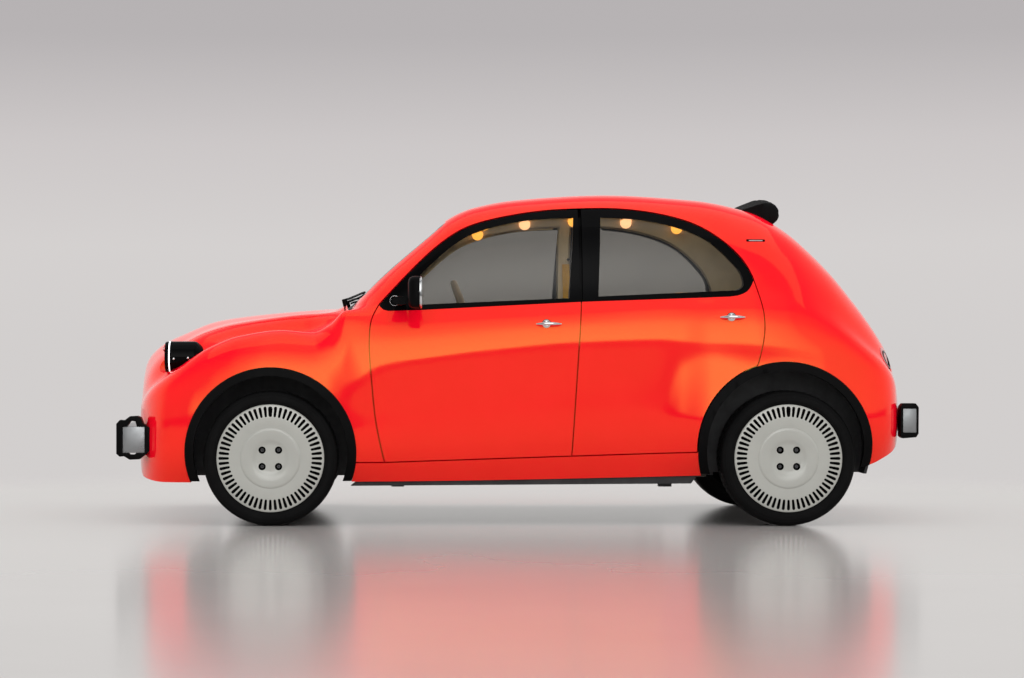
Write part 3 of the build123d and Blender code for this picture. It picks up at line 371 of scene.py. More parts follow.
def without(a, *tools):
    return combine(a, tools, "DIFFERENCE")


def mirrored(mesh):
    """The right side's twin of a left side's mesh."""
    twin = mesh.copy()
    twin.transform(Matrix.Scale(-1, 4, (1, 0, 0)))
    twin.flip_normals()
    return twin


def joined_meshes(*meshes):
    """One mesh holding several, each keeping its slots."""
    bm = bmesh.new()
    for mesh in meshes:
        bm.from_mesh(mesh)
    out = bpy.data.meshes.new("group")
    bm.to_mesh(out)
    bm.free()
    return out


def with_slot(mesh, slot):
    for face in mesh.polygons:
        face.material_index = slot
    return mesh


def bevelled(mesh, width, segments=3, angle=30.0):
    return modified(mesh, ("BEVEL", {"width": width * MM, "segments": segments,
                                     "limit_method": "ANGLE", "angle_limit": math.radians(angle)}))


def rounded_block(x, y, z, radius, segments=4):
    return bevelled(with_slot(block(x, y, z), 0), radius, segments)


def spun(centre, profile, angle):
    """Points (metres) of a profile of (x, radius) at an angle about the axis along X."""
    c, s = math.cos(angle), math.sin(angle)
    return [((centre[0] + x) * MM, (centre[1] + r * c) * MM, (centre[2] + r * s) * MM) for x, r in profile]


def lathe(profile, centre, count=128):
    """Ring turned about an axis along X; the profile is a closed loop of (x, radius) in mm."""
    verts = [v for angle in circle(count) for v in spun(centre, profile, angle)]
    return make_mesh(verts, ring_faces(count, len(profile), around=True))


def pod(profile, x, z, count=96):
    """Ring turned about an axis along Y; the profile is a closed loop of (y, radius) in mm."""
    mesh = lathe([(-y, r) for y, r in profile], (0, 0, 0), count)
    mesh.transform(Matrix.Rotation(-math.pi / 2, 4, "Z"))
    mesh.transform(Matrix.Translation(Vector((x, 0, z)) * MM))
    return mesh


def tube(points, radius, count=12, closed=False, flat=1.0):
    """Round tube through smooth points (mm); flat squeezes it along its second direction."""
    pts = [Vector(p) for p in points]
    verts = []
    for i, p in enumerate(pts):
        before = pts[i - 1] if i or closed else p
        after = pts[(i + 1) % len(pts)] if i < len(pts) - 1 or closed else p
        t = (after - before).normalized()
        across = t.cross(Vector((0, 0, 1)))
        if across.length < 0.05:
            across = t.cross(Vector((1, 0, 0)))
        across.normalize()
        other = across.cross(t).normalized()
        r = radius(i / max(1, len(pts) - 1)) if callable(radius) else radius
        verts += [(p + across * math.cos(a) * r + other * math.sin(a) * r * flat) * MM for a in circle(count)]
    return make_mesh(verts, ring_faces(len(pts), count, around=closed))


def moved(mesh, turn, about):
    """The mesh turned about a point (mm)."""
    twin = mesh.copy()
    centre = Matrix.Translation(Vector(about) * MM)
    twin.transform(centre @ turn @ centre.inverted())
    return twin


# ---------------------------------------------------------------- true normals of the body surface
SKIN_FACING = 0.7   # cosine between a face and the skin, over which it takes the skin's normals


class Skin:
    """Normals of one dense hull, to be carried onto the pieces cut from it."""

    def __init__(self, depths, first=-FAR, last=FAR, step=14.0, count=8):
        grid = hull_grid(depths, first, last, 0.0, step, count)
        normals = np.cross(np.gradient(grid, axis=0), np.gradient(grid, axis=1))
        normals /= np.linalg.norm(normals, axis=2, keepdims=True) + 1e-12
        rows, columns = grid.shape[:2]
        if normals[rows // 2, columns // 2][2] < 0:
            normals = -normals
        self.points = grid.reshape(-1, 3)
        self.normals = normals.reshape(-1, 3)
        self.faces = [(i * columns + j, i * columns + j + 1, (i + 1) * columns + j + 1,
                       (i + 1) * columns + j) for i in range(rows - 1) for j in range(columns - 1)]
        self.tree = BVHTree.FromPolygons([tuple(p) for p in self.points], self.faces)

    def normal(self, co):
        """The hull's own normal at its point nearest to co."""
        hit, _, index, _ = self.tree.find_nearest(co)
        face = self.faces[index]
        weights = [1.0 / (1e-9 + (Vector(self.points[v]) - hit).length_squared) for v in face]
        n = sum((Vector(self.normals[v]) * w for v, w in zip(face, weights)), Vector()) / sum(weights)
        return n.normalized()


def carry_normals(mesh, skin, angle=28.0):
    """Smooth shading by angle, with the skin's own normals on the faces of slot 0."""
    for face in mesh.polygons:
        face.use_smooth = True
    bm = bmesh.new()
    bm.from_mesh(mesh)
    limit = math.radians(angle)
    for edge in bm.edges:
        edge.smooth = False
        if len(edge.link_faces) == 2:
            a, b = edge.link_faces
            edge.smooth = a.normal.angle(b.normal, 0) < limit and a.material_index == b.material_index
    bm.to_mesh(mesh)
    bm.free()
    if skin is None:
        return mesh
    known = {}
    custom = [Vector((0, 0, 0))] * len(mesh.loops)
    for face in mesh.polygons:
        if face.material_index:
            continue
        for li in face.loop_indices:
            v = mesh.loops[li].vertex_index
            if v not in known:
                known[v] = skin.normal(mesh.vertices[v].co)
            if known[v].dot(face.normal) > SKIN_FACING:
                custom[li] = known[v]
    mesh.normals_split_custom_set(custom)
    return mesh


def smooth(mesh, angle=35.0):
    return carry_normals(mesh, None, angle)


# ---------------------------------------------------------------- materials
class Tree:
    """The nodes of one material or world, added and linked in short calls."""

    def __init__(self, owner):
        owner.use_nodes = True
        self.nodes, self.links = owner.node_tree.nodes, owner.node_tree.links

    def feed(self, node, sources):
        """Outputs linked into a node's sockets."""
        for socket, source in sources.items():
            self.links.new(source, node.inputs[socket])

    def add(self, kind, values=None, sources=None, **settings):
        """A new node with its settings, its sockets' values and what is linked into them."""
        node = self.nodes.new("ShaderNode" + kind)
        for key, value in settings.items():
            setattr(node, key, value)
        for socket, value in (values or {}).items():
            node.inputs[socket].default_value = value
        self.feed(node, sources or {})
        return node

    def noise(self, scale, detail=4.0, rough=0.55, stretch=(1, 1, 1)):
        place = self.add("TexCoord").outputs["Object"]
        place = self.add("Mapping", {"Scale": stretch}, {"Vector": place}).outputs["Vector"]
        return self.add("TexNoise", {"Scale": scale, "Detail": detail, "Roughness": rough},
                        {"Vector": place}).outputs["Fac"]

    def ramp(self, value, stops):
        """Colour for a value, through stops of (place, colour)."""
        node = self.add("ValToRGB", sources={"Fac": value})
        while len(node.color_ramp.elements) < len(stops):
            node.color_ramp.elements.new(0.5)
        for element, (place, colour) in zip(node.color_ramp.elements, stops):
            element.position = place
            element.color = (*colour, 1)
        return node.outputs["Color"]

    def spread(self, value, low, high, first=0.3, last=0.7, kind="LINEAR"):
        """The value's range from first to last mapped to low to high."""
        return self.add("MapRange", {"From Min": first, "From Max": last, "To Min": low, "To Max": high},
                        {"Value": value}, interpolation_type=kind).outputs["Result"]

    def bump(self, height, strength, distance=0.001, below=None):
        sources = {"Height": height} if below is None else {"Height": height, "Normal": below}
        return self.add("Bump", {"Strength": strength, "Distance": distance}, sources).outputs["Normal"]


def material(name, values):
    """A new material, its node tree and its shader with these sockets set."""
    made = bpy.data.materials.new(name)
    tree = Tree(made)
    shader = tree.nodes["Principled BSDF"]
    for socket, value in values.items():
        shader.inputs[socket].default_value = value
    return made, tree, shader


def tone(colour, k):
    return tuple(min(1.0, v * k) for v in colour)


def plastic(name, colour, rough, grain=900.0, strength=0.15, coat=0.0, vary=0.12, distance=0.0004,
            shine=0.5):
    """Moulded plastic, rubber or lacquer: grained, with slow changes of tone and of gloss."""
    made, tree, shader = material(name, {"Specular IOR Level": shine, "Coat Weight": coat,
                                         "Coat Roughness": 0.04})
    shades = [(0.3, tone(colour, 1 - vary)), (0.7, tone(colour, 1 + vary))]
    tree.feed(shader, {
        "Base Color": tree.ramp(tree.noise(9.0), shades),
        "Roughness": tree.spread(tree.noise(35.0), rough * 0.88, rough * 1.12),
        "Normal": tree.bump(tree.noise(grain, 3.0), strength, distance)})
    return made


def metal(name, colour, rough, stretch=(1, 1, 1), scale=220.0, strength=0.08):
    """Metal whose fine grain, brushed where it is stretched, shows in tone and in bump."""
    made, tree, shader = material(name, {"Metallic": 1.0})
    grain = tree.noise(scale, 5.0, 0.6, stretch)
    tree.feed(shader, {
        "Base Color": tree.ramp(grain, [(0.3, tone(colour, 0.9)), (0.7, tone(colour, 1.08))]),
        "Roughness": tree.spread(tree.noise(14.0), rough * 0.8, rough * 1.25),
        "Normal": tree.bump(grain, strength, 0.0003)})
    return made


def paint_material():
    """Glossy orange-red paint with a faint orange peel."""
    made, tree, shader = material("car_paint", {"Roughness": 0.07, "Specular IOR Level": 1.0,
                                                "Specular Tint": (1.0, 0.68, 0.12, 1.0)})
    tree.feed(shader, {
        "Base Color": tree.ramp(tree.noise(5.0, 3.0), [(0.25, (0.96, 0.003, 0.017)),
                                                       (0.75, (1.0, 0.004, 0.020))]),
        "Normal": tree.bump(tree.noise(320.0, 2.0), 0.02, 0.0003)})
    return made


def glass_material(name, colour):
    made, tree, shader = material(name, {"Transmission Weight": 1.0, "Roughness": 0.0, "IOR": 1.32})
    tree.feed(shader, {"Base Color": tree.ramp(tree.noise(4.0, 2.0), [(0.2, tone(colour, 0.985)),
                                                                      (0.8, tone(colour, 1.0))])})
    return made


def fabric_material(name, colour, scale=650.0, strength=0.5, rough=0.9, sheen=0.3, vary=0.16,
                    shine=0.5):
    """Woven cloth: threads along two directions over soft folds and slow changes of tone."""
    made, tree, shader = material(name, {"Roughness": rough, "Specular IOR Level": shine,
                                         "Sheen Weight": sheen, "Sheen Roughness": 0.5})
    coord = tree.add("TexCoord").outputs["Object"]
    threads = []
    for turn in ((0.0, 0.0, 0.0), (1.57, 0.0, 0.0), (0.0, 0.0, 1.57)):
        place = tree.add("Mapping", {"Rotation": turn}, {"Vector": coord}).outputs["Vector"]
        threads.append(tree.add("TexWave", {"Scale": scale / 6.283, "Distortion": 0.6, "Detail": 1.0},
                                {"Vector": place}, bands_direction="Y").outputs["Fac"])
    weave = tree.add("Math", sources={0: threads[0], 1: threads[1]}, operation="MAXIMUM").outputs["Value"]
    weave = tree.add("Math", sources={0: weave, 1: threads[2]}, operation="MULTIPLY").outputs["Value"]
    shade = tree.add("Math", {1: 0.35}, {0: weave, 2: tree.noise(7.0, 5.0, 0.6)},
                     operation="MULTIPLY_ADD").outputs["Value"]
    folds = tree.bump(tree.noise(30.0, 3.0), 0.25, 0.002)
    tree.feed(shader, {
        "Base Color": tree.ramp(shade, [(0.25, tone(colour, 1 - vary)), (0.85, tone(colour, 1 + vary))]),
        "Normal": tree.bump(weave, strength, 0.0006, folds)})
    return made


def lamp_material(name, colour, strength):
    made, tree, shader = material(name, {"Emission Strength": strength, "Roughness": 0.3})
    glow = tree.ramp(tree.noise(60.0), [(0.2, tone(colour, 0.92)), (0.8, colour)])
    tree.feed(shader, {"Base Color": glow, "Emission Color": glow})
    return made


PAINT = paint_material()
GLASS = glass_material("window_glass", (0.46, 0.455, 0.435))
CLEAR = glass_material("clear_lens", (0.96, 0.97, 0.98))
BLACK = plastic("satin_black", (0.0030, 0.0030, 0.0032), 0.4, shine=0.05)
GLOSS_BLACK = plastic("gloss_black", (0.0024, 0.0024, 0.0026), 0.08, 300.0, 0.02, shine=0.04)
RUBBER = plastic("rubber", (0.0036, 0.0036, 0.0038), 0.6, 700.0, 0.3, 0.0, 0.25, shine=0.08)
ALUMINIUM = metal("satin_aluminium", (0.29, 0.30, 0.31), 0.33, (0.15, 6, 6))
CHROME = metal("chrome", (0.82, 0.83, 0.84), 0.09, (1, 1, 1), 60.0, 0.01)
STEEL = metal("dark_steel", (0.12, 0.12, 0.125), 0.5)
COVER = plastic("wheel_gloss", (0.40, 0.405, 0.375), 0.2, 500.0, 0.02, 0.5, 0.03)
UNDERBODY = plastic("underbody_coating", (0.022, 0.022, 0.024), 0.65, 160.0, 0.5, 0.0, 0.3, 0.001)
CASE = metal("battery_case", (0.35, 0.36, 0.37), 0.42)
TRIM = plastic("cream_trim", (0.82, 0.71, 0.48), 0.55, 1100.0, 0.2)
YELLOW = fabric_material("yellow_webbing", (0.80, 0.44, 0.02), 1200.0, 0.4, 0.7, 0.04, shine=0.1)
SEAT = fabric_material("seat_cloth", (0.66, 0.58, 0.42), 900.0, 0.45)
PIPING = fabric_material("seat_piping", (0.5, 0.2, 0.06), 1500.0, 0.3, 0.8)
CARPET = fabric_material("carpet", (0.09, 0.08, 0.07), 500.0, 0.9, 1.0, 0.1)
CANVAS = fabric_material("black_canvas", (0.0035, 0.0035, 0.0038), 1000.0, 0.5, 0.82, 0.02, 0.3, 0.08)
RED_LENS = plastic("red_lens", (0.5, 0.006, 0.008), 0.1, 200.0, 0.01, 1.0)
WARM = lamp_material("warm_lamp", (1.0, 0.42, 0.06), 2.8)
ROSE = lamp_material("rose_lamp", (1.0, 0.50, 0.24), 2.8)
WHITE_LIGHT = lamp_material("running_light", (0.95, 0.97, 1.0), 1.2)


# ---------------------------------------------------------------- pieces
def piece(name, mesh, body, mats, replaces=()):
    """An object of this mesh that rides on a body, with its materials in slot order."""
    slots = np.zeros(len(mesh.polygons), np.int32)
    mesh.polygons.foreach_get("material_index", slots)
    mesh.materials.clear()
    for m in mats:
        mesh.materials.append(m)
    mesh.polygons.foreach_set("material_index", np.minimum(slots, len(mats) - 1))
    obj = bpy.data.objects.new(name, mesh)
    SCENE.collection.objects.link(obj)
    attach(obj, body)
    if replaces:
        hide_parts(*replaces)
    return obj


# ---------------------------------------------------------------- outlines and sizes (mm)
CABIN_REAR_Y, GLASS_Y = 1800, (-900, 1810)
POST_Y, POST_HALF, POST_FOOT_Z, LINING_DEPTH = 297.0, 45.0, 1030.0, 34.0
COWL_FRONT_Y, SIDE_FRONT_Y = -812, -784
OPENING_X, OPENING_Y = 430, (-170, 1096)
ARCHES = [(-1150.0, 24.0, 398.0), (1238.0, 44.0, 404.0)]
TYRE_RADIUS = 314.0
FLANK_WALL, BELT_WALL, PILLAR_WALL, ROOF_WALL, PANEL_WALL = 85.0, 70.0, 45.0, 34.0, 26.0
SHUT_GAP, FRAME_GAP, NOSE_GAP, INNER_INSET, INNER_GAP, SEAT_FIT = 6.0, 16.0, 11.0, 36.0, 10.0, 0.3
SEAL_DEPTH, GLASS_DEPTH, GLASS_THICKNESS = 32.0, 6.0, 5.0
WALLS = [FLANK_WALL] * 4 + [BELT_WALL + 5, BELT_WALL] + [PILLAR_WALL] * 3 + [ROOF_WALL] * 2
FRONT_DOOR = [
    [(-645, 1032), (-681, 960), (-691, 894), (-691, 799), (-680, 657), (-661, 480), (-621, 293)],
    [(-621, 293), (250, 322)],
    [(250, 322), (297, 1038)],
    [(297, 1038), (299, 1483)],
    [(299, 1483), (150, 1476), (30, 1461), (-126, 1430), (-246, 1390), (-358, 1318), (-507, 1180),
     (-645, 1032)],
]
REAR_DOOR = [
    [(250, 322), (297, 1038)],
    [(297, 1038), (299, 1483)],
    [(299, 1483), (406, 1485), (604, 1470), (736, 1443), (836, 1409), (930, 1355), (1016, 1281),
     (1066, 1218), (1095, 1160)],
    [(1095, 1160), (1117, 1086), (1136, 1000), (1139, 900), (1128, 829), (1109, 752)],
    [(1109, 752), (828, 341)],
    [(828, 341), (250, 322)],
]
FRONT_WINDOW = [
    [(-456, 1028), (-455, 1168)],
    [(-455, 1168), (-350, 1266), (-236, 1348), (-126, 1390), (30, 1424), (268, 1438)],
    [(268, 1438), (241, 1058)],
    [(241, 1058), (-456, 1028)],
]
REAR_WINDOW = [
    [(378, 1066), (394, 1441)],
    [(394, 1441), (604, 1426), (770, 1387), (902, 1322), (996, 1232), (1050, 1146), (1048, 1112),
     (1020, 1094)],
    [(1020, 1094), (378, 1066)],
]
FRONT_FRAME = [(-700, 1600), (-700, 1040), (-650, 1031), (-641, 1016), (-627, 1004), (-603, 998),
               (-441, 1003), (-132, 1019), (310, 1041), (310, 1600)]
REAR_FRAME = [(285, 1600), (285, 1040), (848, 1059), (985, 1064), (1022, 1069), (1048, 1078),
              (1066, 1088), (1080, 1103), (1090, 1120), (1098, 1138), (1150, 1150), (1150, 1600)]
BONNET_PLAN = [(0, -1703), (300, -1696), (430, -1672), (496, -1630), (512, -1560), (560, -1300),
               (580, -1000), (596, -812), (0, -812)]
TAILGATE_END = [(0, 604), (530, 604), (558, 640), (560, 900), (520, 1200), (455, 1420), (0, 1500)]
TAILGATE_WINDOW_END = [(0, 1052), (400, 1056), (440, 1090), (436, 1180), (390, 1330), (350, 1362),
                       (0, 1384)]
WINDSHIELD_END = [(0, 1072), (560, 1062), (600, 1076), (588, 1200), (548, 1404), (520, 1424),
                  (0, 1452)]
TAILGATE_TOP_Y = 1296
NOSE_SPLIT_Y, REAR_SPLIT_Y = -1560, 1672
ROOF_SEAM_X, FENDER_TOP_Z, FLOOR_SEAM_X, FLOOR_SEAM_Z = 500, 1010, 640, 340
COWL_REAR_Y, COWL_SIDE_X, SILL_SPLIT_Z = -700, 648, 293
LAMP_X, LAMP_Z, LAMP_RADIUS, LAMP_Y = 604.0, 783.0, 74.0, (-1656.0, -1462.0)
LAMP_CHAMFER = 46.0
TAIL_X, TAIL_Z, TAIL_RADIUS, TAIL_LAMP_Y = 630.0, 770.0, 58.0, (1620.0, 1742.0)
BRACKET_X, ARM_HALF, BEAM_END_X = 365.0, 30.0, 700.0
FRONT_BEAM_Z, REAR_BEAM_Z = (334.0, 456.0), (429.0, 541.0)


def chamfered_rod(radius, rear, front, count=96):
    """Bar along Y at the headlamp's place, with its rear edge chamfered as the pod's is."""
    return rings_mesh([[(LAMP_X + r * math.cos(a), y, LAMP_Z + r * math.sin(a)) for a in circle(count)]
                       for y, r in ((front, radius), (rear - LAMP_CHAMFER, radius),
                                    (rear, radius - LAMP_CHAMFER))], 2)


def even(depth):
    """The same depth at each of a half section's eleven points."""
    return [depth] * 11


def arch_cylinder(axle, lift, radius, low=SIDE_X[0]):
    return rod(radius, (low, axle, TYRE_RADIUS + lift), (SIDE_X[1], axle, TYRE_RADIUS + lift), 160)


OUTER = hull(even(0.0), step=14.0, count=7)
CABIN = hull(WALLS, CREASE_Y, CABIN_REAR_Y, 6.0, 30.0, 4, slot=1)
SEAL = hull(even(SEAL_DEPTH), CREASE_Y - 60, GLASS_Y[1])
FLANGE = hull(even(PANEL_WALL), CREASE_Y, CABIN_REAR_Y)
BAY = hull(even(SEAL_DEPTH - SEAT_FIT), -1800, -500, slot=1)
PANE = without(hull(even(GLASS_DEPTH), *GLASS_Y, 0.0, 20.0, 6),
               hull(even(GLASS_DEPTH + GLASS_THICKNESS), *GLASS_Y, 0.0, 20.0, 6))
TRIM_OUT = hull(even(-4.0), -1700, 1750, 0.0, 14.0, 7)
TRIM_IN = hull(even(36.0), -1700, 1750)
SHELL = without(OUTER, CABIN)
THIN_SHELL = without(OUTER, BAY)
ARCH_CUTS = [arch_cylinder(axle, lift, radius + SEAT_FIT) for axle, lift, radius in ARCHES]
SKIN = Skin(even(0.0))
GLASS_SKIN = Skin(even(GLASS_DEPTH), *GLASS_Y, 20.0, 6)


def met(tree, start, direction):
    """The point (mm) where a line from a start (mm) in a direction meets a surface."""
    return tree.ray_cast(Vector(start) * MM, Vector(direction))[0] / MM


def surface_x(y, z):
    """x of the body's left side at a place."""
    return met(SKIN.tree, (FAR, y, z), (-1, 0, 0)).x


def above_z(x, y):
    """z of the body's top at a place."""
    return met(SKIN.tree, (x, y, 2500), (0, 0, -1)).z


def lined(mesh):
    """Cut faces well inside the skin take the cabin's lining, and the door post's are black."""
    for face in mesh.polygons:
        y, z = face.center.y / MM, face.center.z / MM
        inside = SKIN.tree.find_nearest(face.center)[3] / MM
        post = abs(y - POST_Y) < POST_HALF and z > POST_FOOT_Z
        if post and face.material_index in (0, 2) and 20 < inside <= LINING_DEPTH:
            face.material_index = 3
        elif face.material_index == 2 and z > FLOOR_SEAM_Z and inside > LINING_DEPTH:
            face.material_index = 1
    return mesh


def finished(name, mesh, body, mats, replaces=(), skin=SKIN, both=True):
    """A panel with the skin's normals: left and right twins, or one piece across the middle."""
    for side, shape in (("_left", mesh), ("_right", mirrored(mesh))) if both else (("", mesh),):
        piece(name + side, carry_normals(shape, skin), body if body == "root" else body + side,
              mats, [node + side for node in replaces])


def pair(name, mesh, body, mats, replaces=()):
    """A left piece and its mirrored right twin, on their own bodies or both on the root."""
    return [piece(name + side, shape, body if body == "root" else body + side, mats,
                  [node + side for node in replaces])
            for side, shape in (("_left", mesh), ("_right", mirrored(mesh)))]


# ---------------------------------------------------------------- doors
def door(outer_line, window, trims):
    """A door's leaf, stepped round its edge for the seal, with its window cut."""
    leaf = common(SHELL, side_prism(outer_line, -SHUT_GAP / 2))
    ring = without(side_prism(outer_line, SHUT_GAP), side_prism(outer_line, -INNER_INSET))
    return without(leaf, common(FLANGE, ring), side_prism(window), *trims)


post_slot = block(SIDE_X, (POST_Y - FRAME_GAP / 2, POST_Y + FRAME_GAP / 2), (1046, 1500))
rear_arch_gap = arch_cylinder(*ARCHES[1][:2], ARCHES[1][2] + SHUT_GAP)
for end, outer_line, window, line, trims in (
        ("front", FRONT_DOOR, FRONT_WINDOW, FRONT_FRAME, [post_slot]),
        ("rear", REAR_DOOR, REAR_WINDOW, REAR_FRAME, [post_slot, rear_arch_gap])):
    whole = door(outer_line, window, trims)
    upper = prism(line, 200, 1100, 0)
    finished(f"{end}_door_panel", without(whole, upper), f"{end}_door",
             [PAINT, TRIM, PAINT], [f"{end}_door"])
    surround = common(whole, upper)
    for face in surround.polygons:
        if face.normal.x < -0.5:
            dark_ring = face.material_index == 1 and (end == "rear" or face.center.y > 0.225)
            face.material_index = 2 if dark_ring else 1
    finished(f"{end}_door_frame", surround, f"{end}_door", [GLOSS_BLACK, TRIM, BLACK])
    glass = common(PANE, side_prism(window, -SEAT_FIT))
    finished(f"{end}_door_window", glass, f"{end}_door", [GLASS], [f"{end}_door_glass"],
             GLASS_SKIN)

# ---------------------------------------------------------------- bonnet and tailgate
bonnet = without(common(THIN_SHELL, plan_prism(BONNET_PLAN, 740, 1200, -SHUT_GAP / 2)),
                 block((-700, 700), (-1800, BONNET_PLAN[0][1] + NOSE_GAP), (0, 1200)))
finished("bonnet_panel", bonnet, "bonnet", [PAINT], ["bonnet"], both=False)
bonnet_space = plan_prism(BONNET_PLAN, 720, 1200, SHUT_GAP / 2)
tailgate = without(common(SHELL, end_prism(TAILGATE_END, TAILGATE_TOP_Y, 1900, -SHUT_GAP / 2)),
                   end_prism(TAILGATE_WINDOW_END, 1200, 1900))
finished("tailgate_panel", tailgate, "tailgate", [PAINT, TRIM, PAINT], ["tailgate"], both=False)
tailgate_space = end_prism(TAILGATE_END, TAILGATE_TOP_Y - SHUT_GAP, 1900, SHUT_GAP / 2)
windshield_space = end_prism(WINDSHIELD_END, -920, -240)

# ---------------------------------------------------------------- fixed outer panels
lamp_cut = chamfered_rod(LAMP_RADIUS + SEAT_FIT, LAMP_Y[1] + SEAT_FIT, -1900)
tail_lamp_cut = rod(TAIL_RADIUS + SEAT_FIT, (TAIL_X, TAIL_LAMP_Y[0] - SEAT_FIT, TAIL_Z),
                    (TAIL_X, 1900, TAIL_Z))


def bracket(y, z):
    """Space for the arm that carries a bumper bar of these lowest and highest z."""
    middle, half = sum(z) / 2, ARM_HALF + SEAT_FIT
    return block((BRACKET_X - half, BRACKET_X + half), y, (middle - half, middle + half))


front_bracket_cut = bracket((-1900, -1690), FRONT_BEAM_Z)
rear_bracket_cut = bracket((1680, 1900), REAR_BEAM_Z)
nose = without(common(THIN_SHELL, slab((-1900, NOSE_SPLIT_Y), (0, 1200))), bonnet_space, lamp_cut,
               mirrored(lamp_cut), front_bracket_cut, mirrored(front_bracket_cut))
finished("nose_skin", nose, "root", [PAINT, UNDERBODY, PAINT], ["nose_panel"], both=False)
fender = without(common(THIN_SHELL, slab((NOSE_SPLIT_Y, -600), (0, FENDER_TOP_Z), (440, FAR))),
                 bonnet_space, lamp_cut, ARCH_CUTS[0], side_prism(FRONT_DOOR, SHUT_GAP / 2),
                 slab((-790, -500), (0, SILL_SPLIT_Z + SHUT_GAP / 2)),
                 slab((COWL_FRONT_Y, -500), (800, 1300), (0, COWL_SIDE_X)),
                 slab((NOSE_SPLIT_Y, -500), (0, 300), (0, FLOOR_SEAM_X + 40)))
finished("front_fender_skin", fender, "root", [PAINT, UNDERBODY, PAINT], ["front_fender"])
cowl_place = slab((COWL_FRONT_Y + SHUT_GAP, COWL_REAR_Y), (880, 1200),
                  (-COWL_SIDE_X + SEAT_FIT, COWL_SIDE_X - SEAT_FIT))
cowl = without(common(THIN_SHELL, cowl_place), windshield_space)
grille_space = block((-520, 520), (-900, -600), (800, 1200))
finished("cowl_panel", without(cowl, grille_space), "root", [PAINT, UNDERBODY, PAINT], ["cowl"],
         both=False)
finished("cowl_grille", common(cowl, grille_space), "root", [BLACK], both=False)
roof_seam = slab((-400, 1900), (1240, 1700), (-ROOF_SEAM_X, ROOF_SEAM_X))
roof = without(common(SHELL, roof_seam), slab(OPENING_Y, (1300, 1700), (-OPENING_X, OPENING_X)),
               tailgate_space, windshield_space)
finished("roof_skin", roof, "root", [PAINT, TRIM, BLACK], ["roof_frame"], both=False)
floor_seam = slab((SIDE_FRONT_Y, FAR), (0, FLOOR_SEAM_Z), (-FLOOR_SEAM_X, FLOOR_SEAM_X))
rear_corner = slab((REAR_SPLIT_Y, FAR), (0, TAILGATE_END[0][1]))
openings = []
for line in (FRONT_DOOR, REAR_DOOR):
    openings.append(without(side_prism(line, SHUT_GAP / 2), SEAL))
    openings.append(side_prism(line, INNER_GAP - INNER_INSET))
side = without(common(SHELL, slab((SIDE_FRONT_Y, FAR), (0, 1700), (0, FAR))), roof_seam, floor_seam,
               rear_corner, tailgate_space, windshield_space, *ARCH_CUTS, tail_lamp_cut, *openings)
fender_space = without(slab((-900, -600), (SILL_SPLIT_Z - SHUT_GAP / 2, FENDER_TOP_Z), (300, FAR)),
                       SEAL)
side = without(side, fender_space, slab((-900, COWL_REAR_Y), (880, 1300), (0, COWL_SIDE_X)))
finished("body_side_skin", lined(side), "root", [PAINT, TRIM, PAINT, GLOSS_BLACK],
         ["body_side"])
rear = without(common(SHELL, rear_corner), tailgate_space, tail_lamp_cut, mirrored(tail_lamp_cut),
               rear_bracket_cut, mirrored(rear_bracket_cut))
finished("rear_skin", rear, "root", [PAINT, TRIM, PAINT], ["rear_panel"], both=False)

# ---------------------------------------------------------------- wheel arch trims
trim_skin = without(TRIM_OUT, TRIM_IN)
arches = []
for axle, lift, radius in ARCHES:
    ring = without(arch_cylinder(axle, lift, radius, 759.3), arch_cylinder(axle, lift, radius - 40.0))
    ring = without(ring, block((0, FAR), (-FAR, FAR), (-FAR, 205)))
    arches.append(carry_normals(bevelled(common(trim_skin, ring), 3.0, 2, 50.0), SKIN))
arches = joined_meshes(*arches, *[mirrored(arch) for arch in arches])
piece("arch_trims", smooth(arches), "root", [BLACK], ["wheel_arch_trims"])

# ---------------------------------------------------------------- wheels and tyres
WHEEL_X, AXLES = 744.0, (("front", -1150.0), ("rear", 1250.0))
TREAD_BLOCKS, BLOCK_SAMPLES = 64, 6
COVER_SLOTS, COVER_SAMPLES = 60, 240
NUT_COUNT, NUT_CIRCLE = 4, 54.0
NUT_TURNS = [math.radians(45 + 360 * k / NUT_COUNT) for k in range(NUT_COUNT)]
TYRE_WALL = [(76.0, 228.0), (79.0, 236.0), (81.5, 246.0), (86.0, 251.5), (92.6, 256.0), (93.0, 257.5),
             (95.0, 260.0), (97.4, 268.0), (98.0, 272.0), (97.4, 274.5), (98.0, 277.0), (96.8, 286.0),
             (94.6, 293.0), (95.4, 294.5), (94.4, 297.0), (91.0, 303.5), (86.0, 308.0), (80.0, 311.0)]
TYRE_INNER_BEAD = [(-76.0, 228.0), (-86.0, 231.0), (-92.0, 240.0), (-94.0, 250.0)]
TREAD = [(72.0, -1.6), (65.5, -1.0), (64.0, -8), (58.5, -8), (57.0, -0.6), (42.0, -0.1), (27.0, 0),
         (25.5, -8), (19.0, -8), (17.5, 0), (6.0, 0)]
COVER_FRONT = [(88.5, 30.0), (88.8, 60.0), (89.2, 74.0), (91.6, 80.0), (92.6, 90.0), (94.2, 130.0),
               (93.8, 136.0), (91.4, 141.0), (91.6, 150.0), (92.6, 178.0), (91.6, 205.0), (89.8, 232.0),
               (89.4, 244.0), (87.6, 249.0), (83.0, 251.0)]
COVER_BACK = [(80.0, 246.0), (81.0, 238.0), (84.0, 228.0), (86.0, 180.0), (84.0, 30.0)]
BARREL = [(-88, 219), (-88, 231), (-82, 231), (-78, 228), (66, 228), (78, 229), (80, 226), (76, 219),
          (72, 214), (72, 25.1), (12, 25.1), (12, 66), (16, 70), (58, 72), (62, 80), (64, 200),
          (58, 214), (48, 219)]


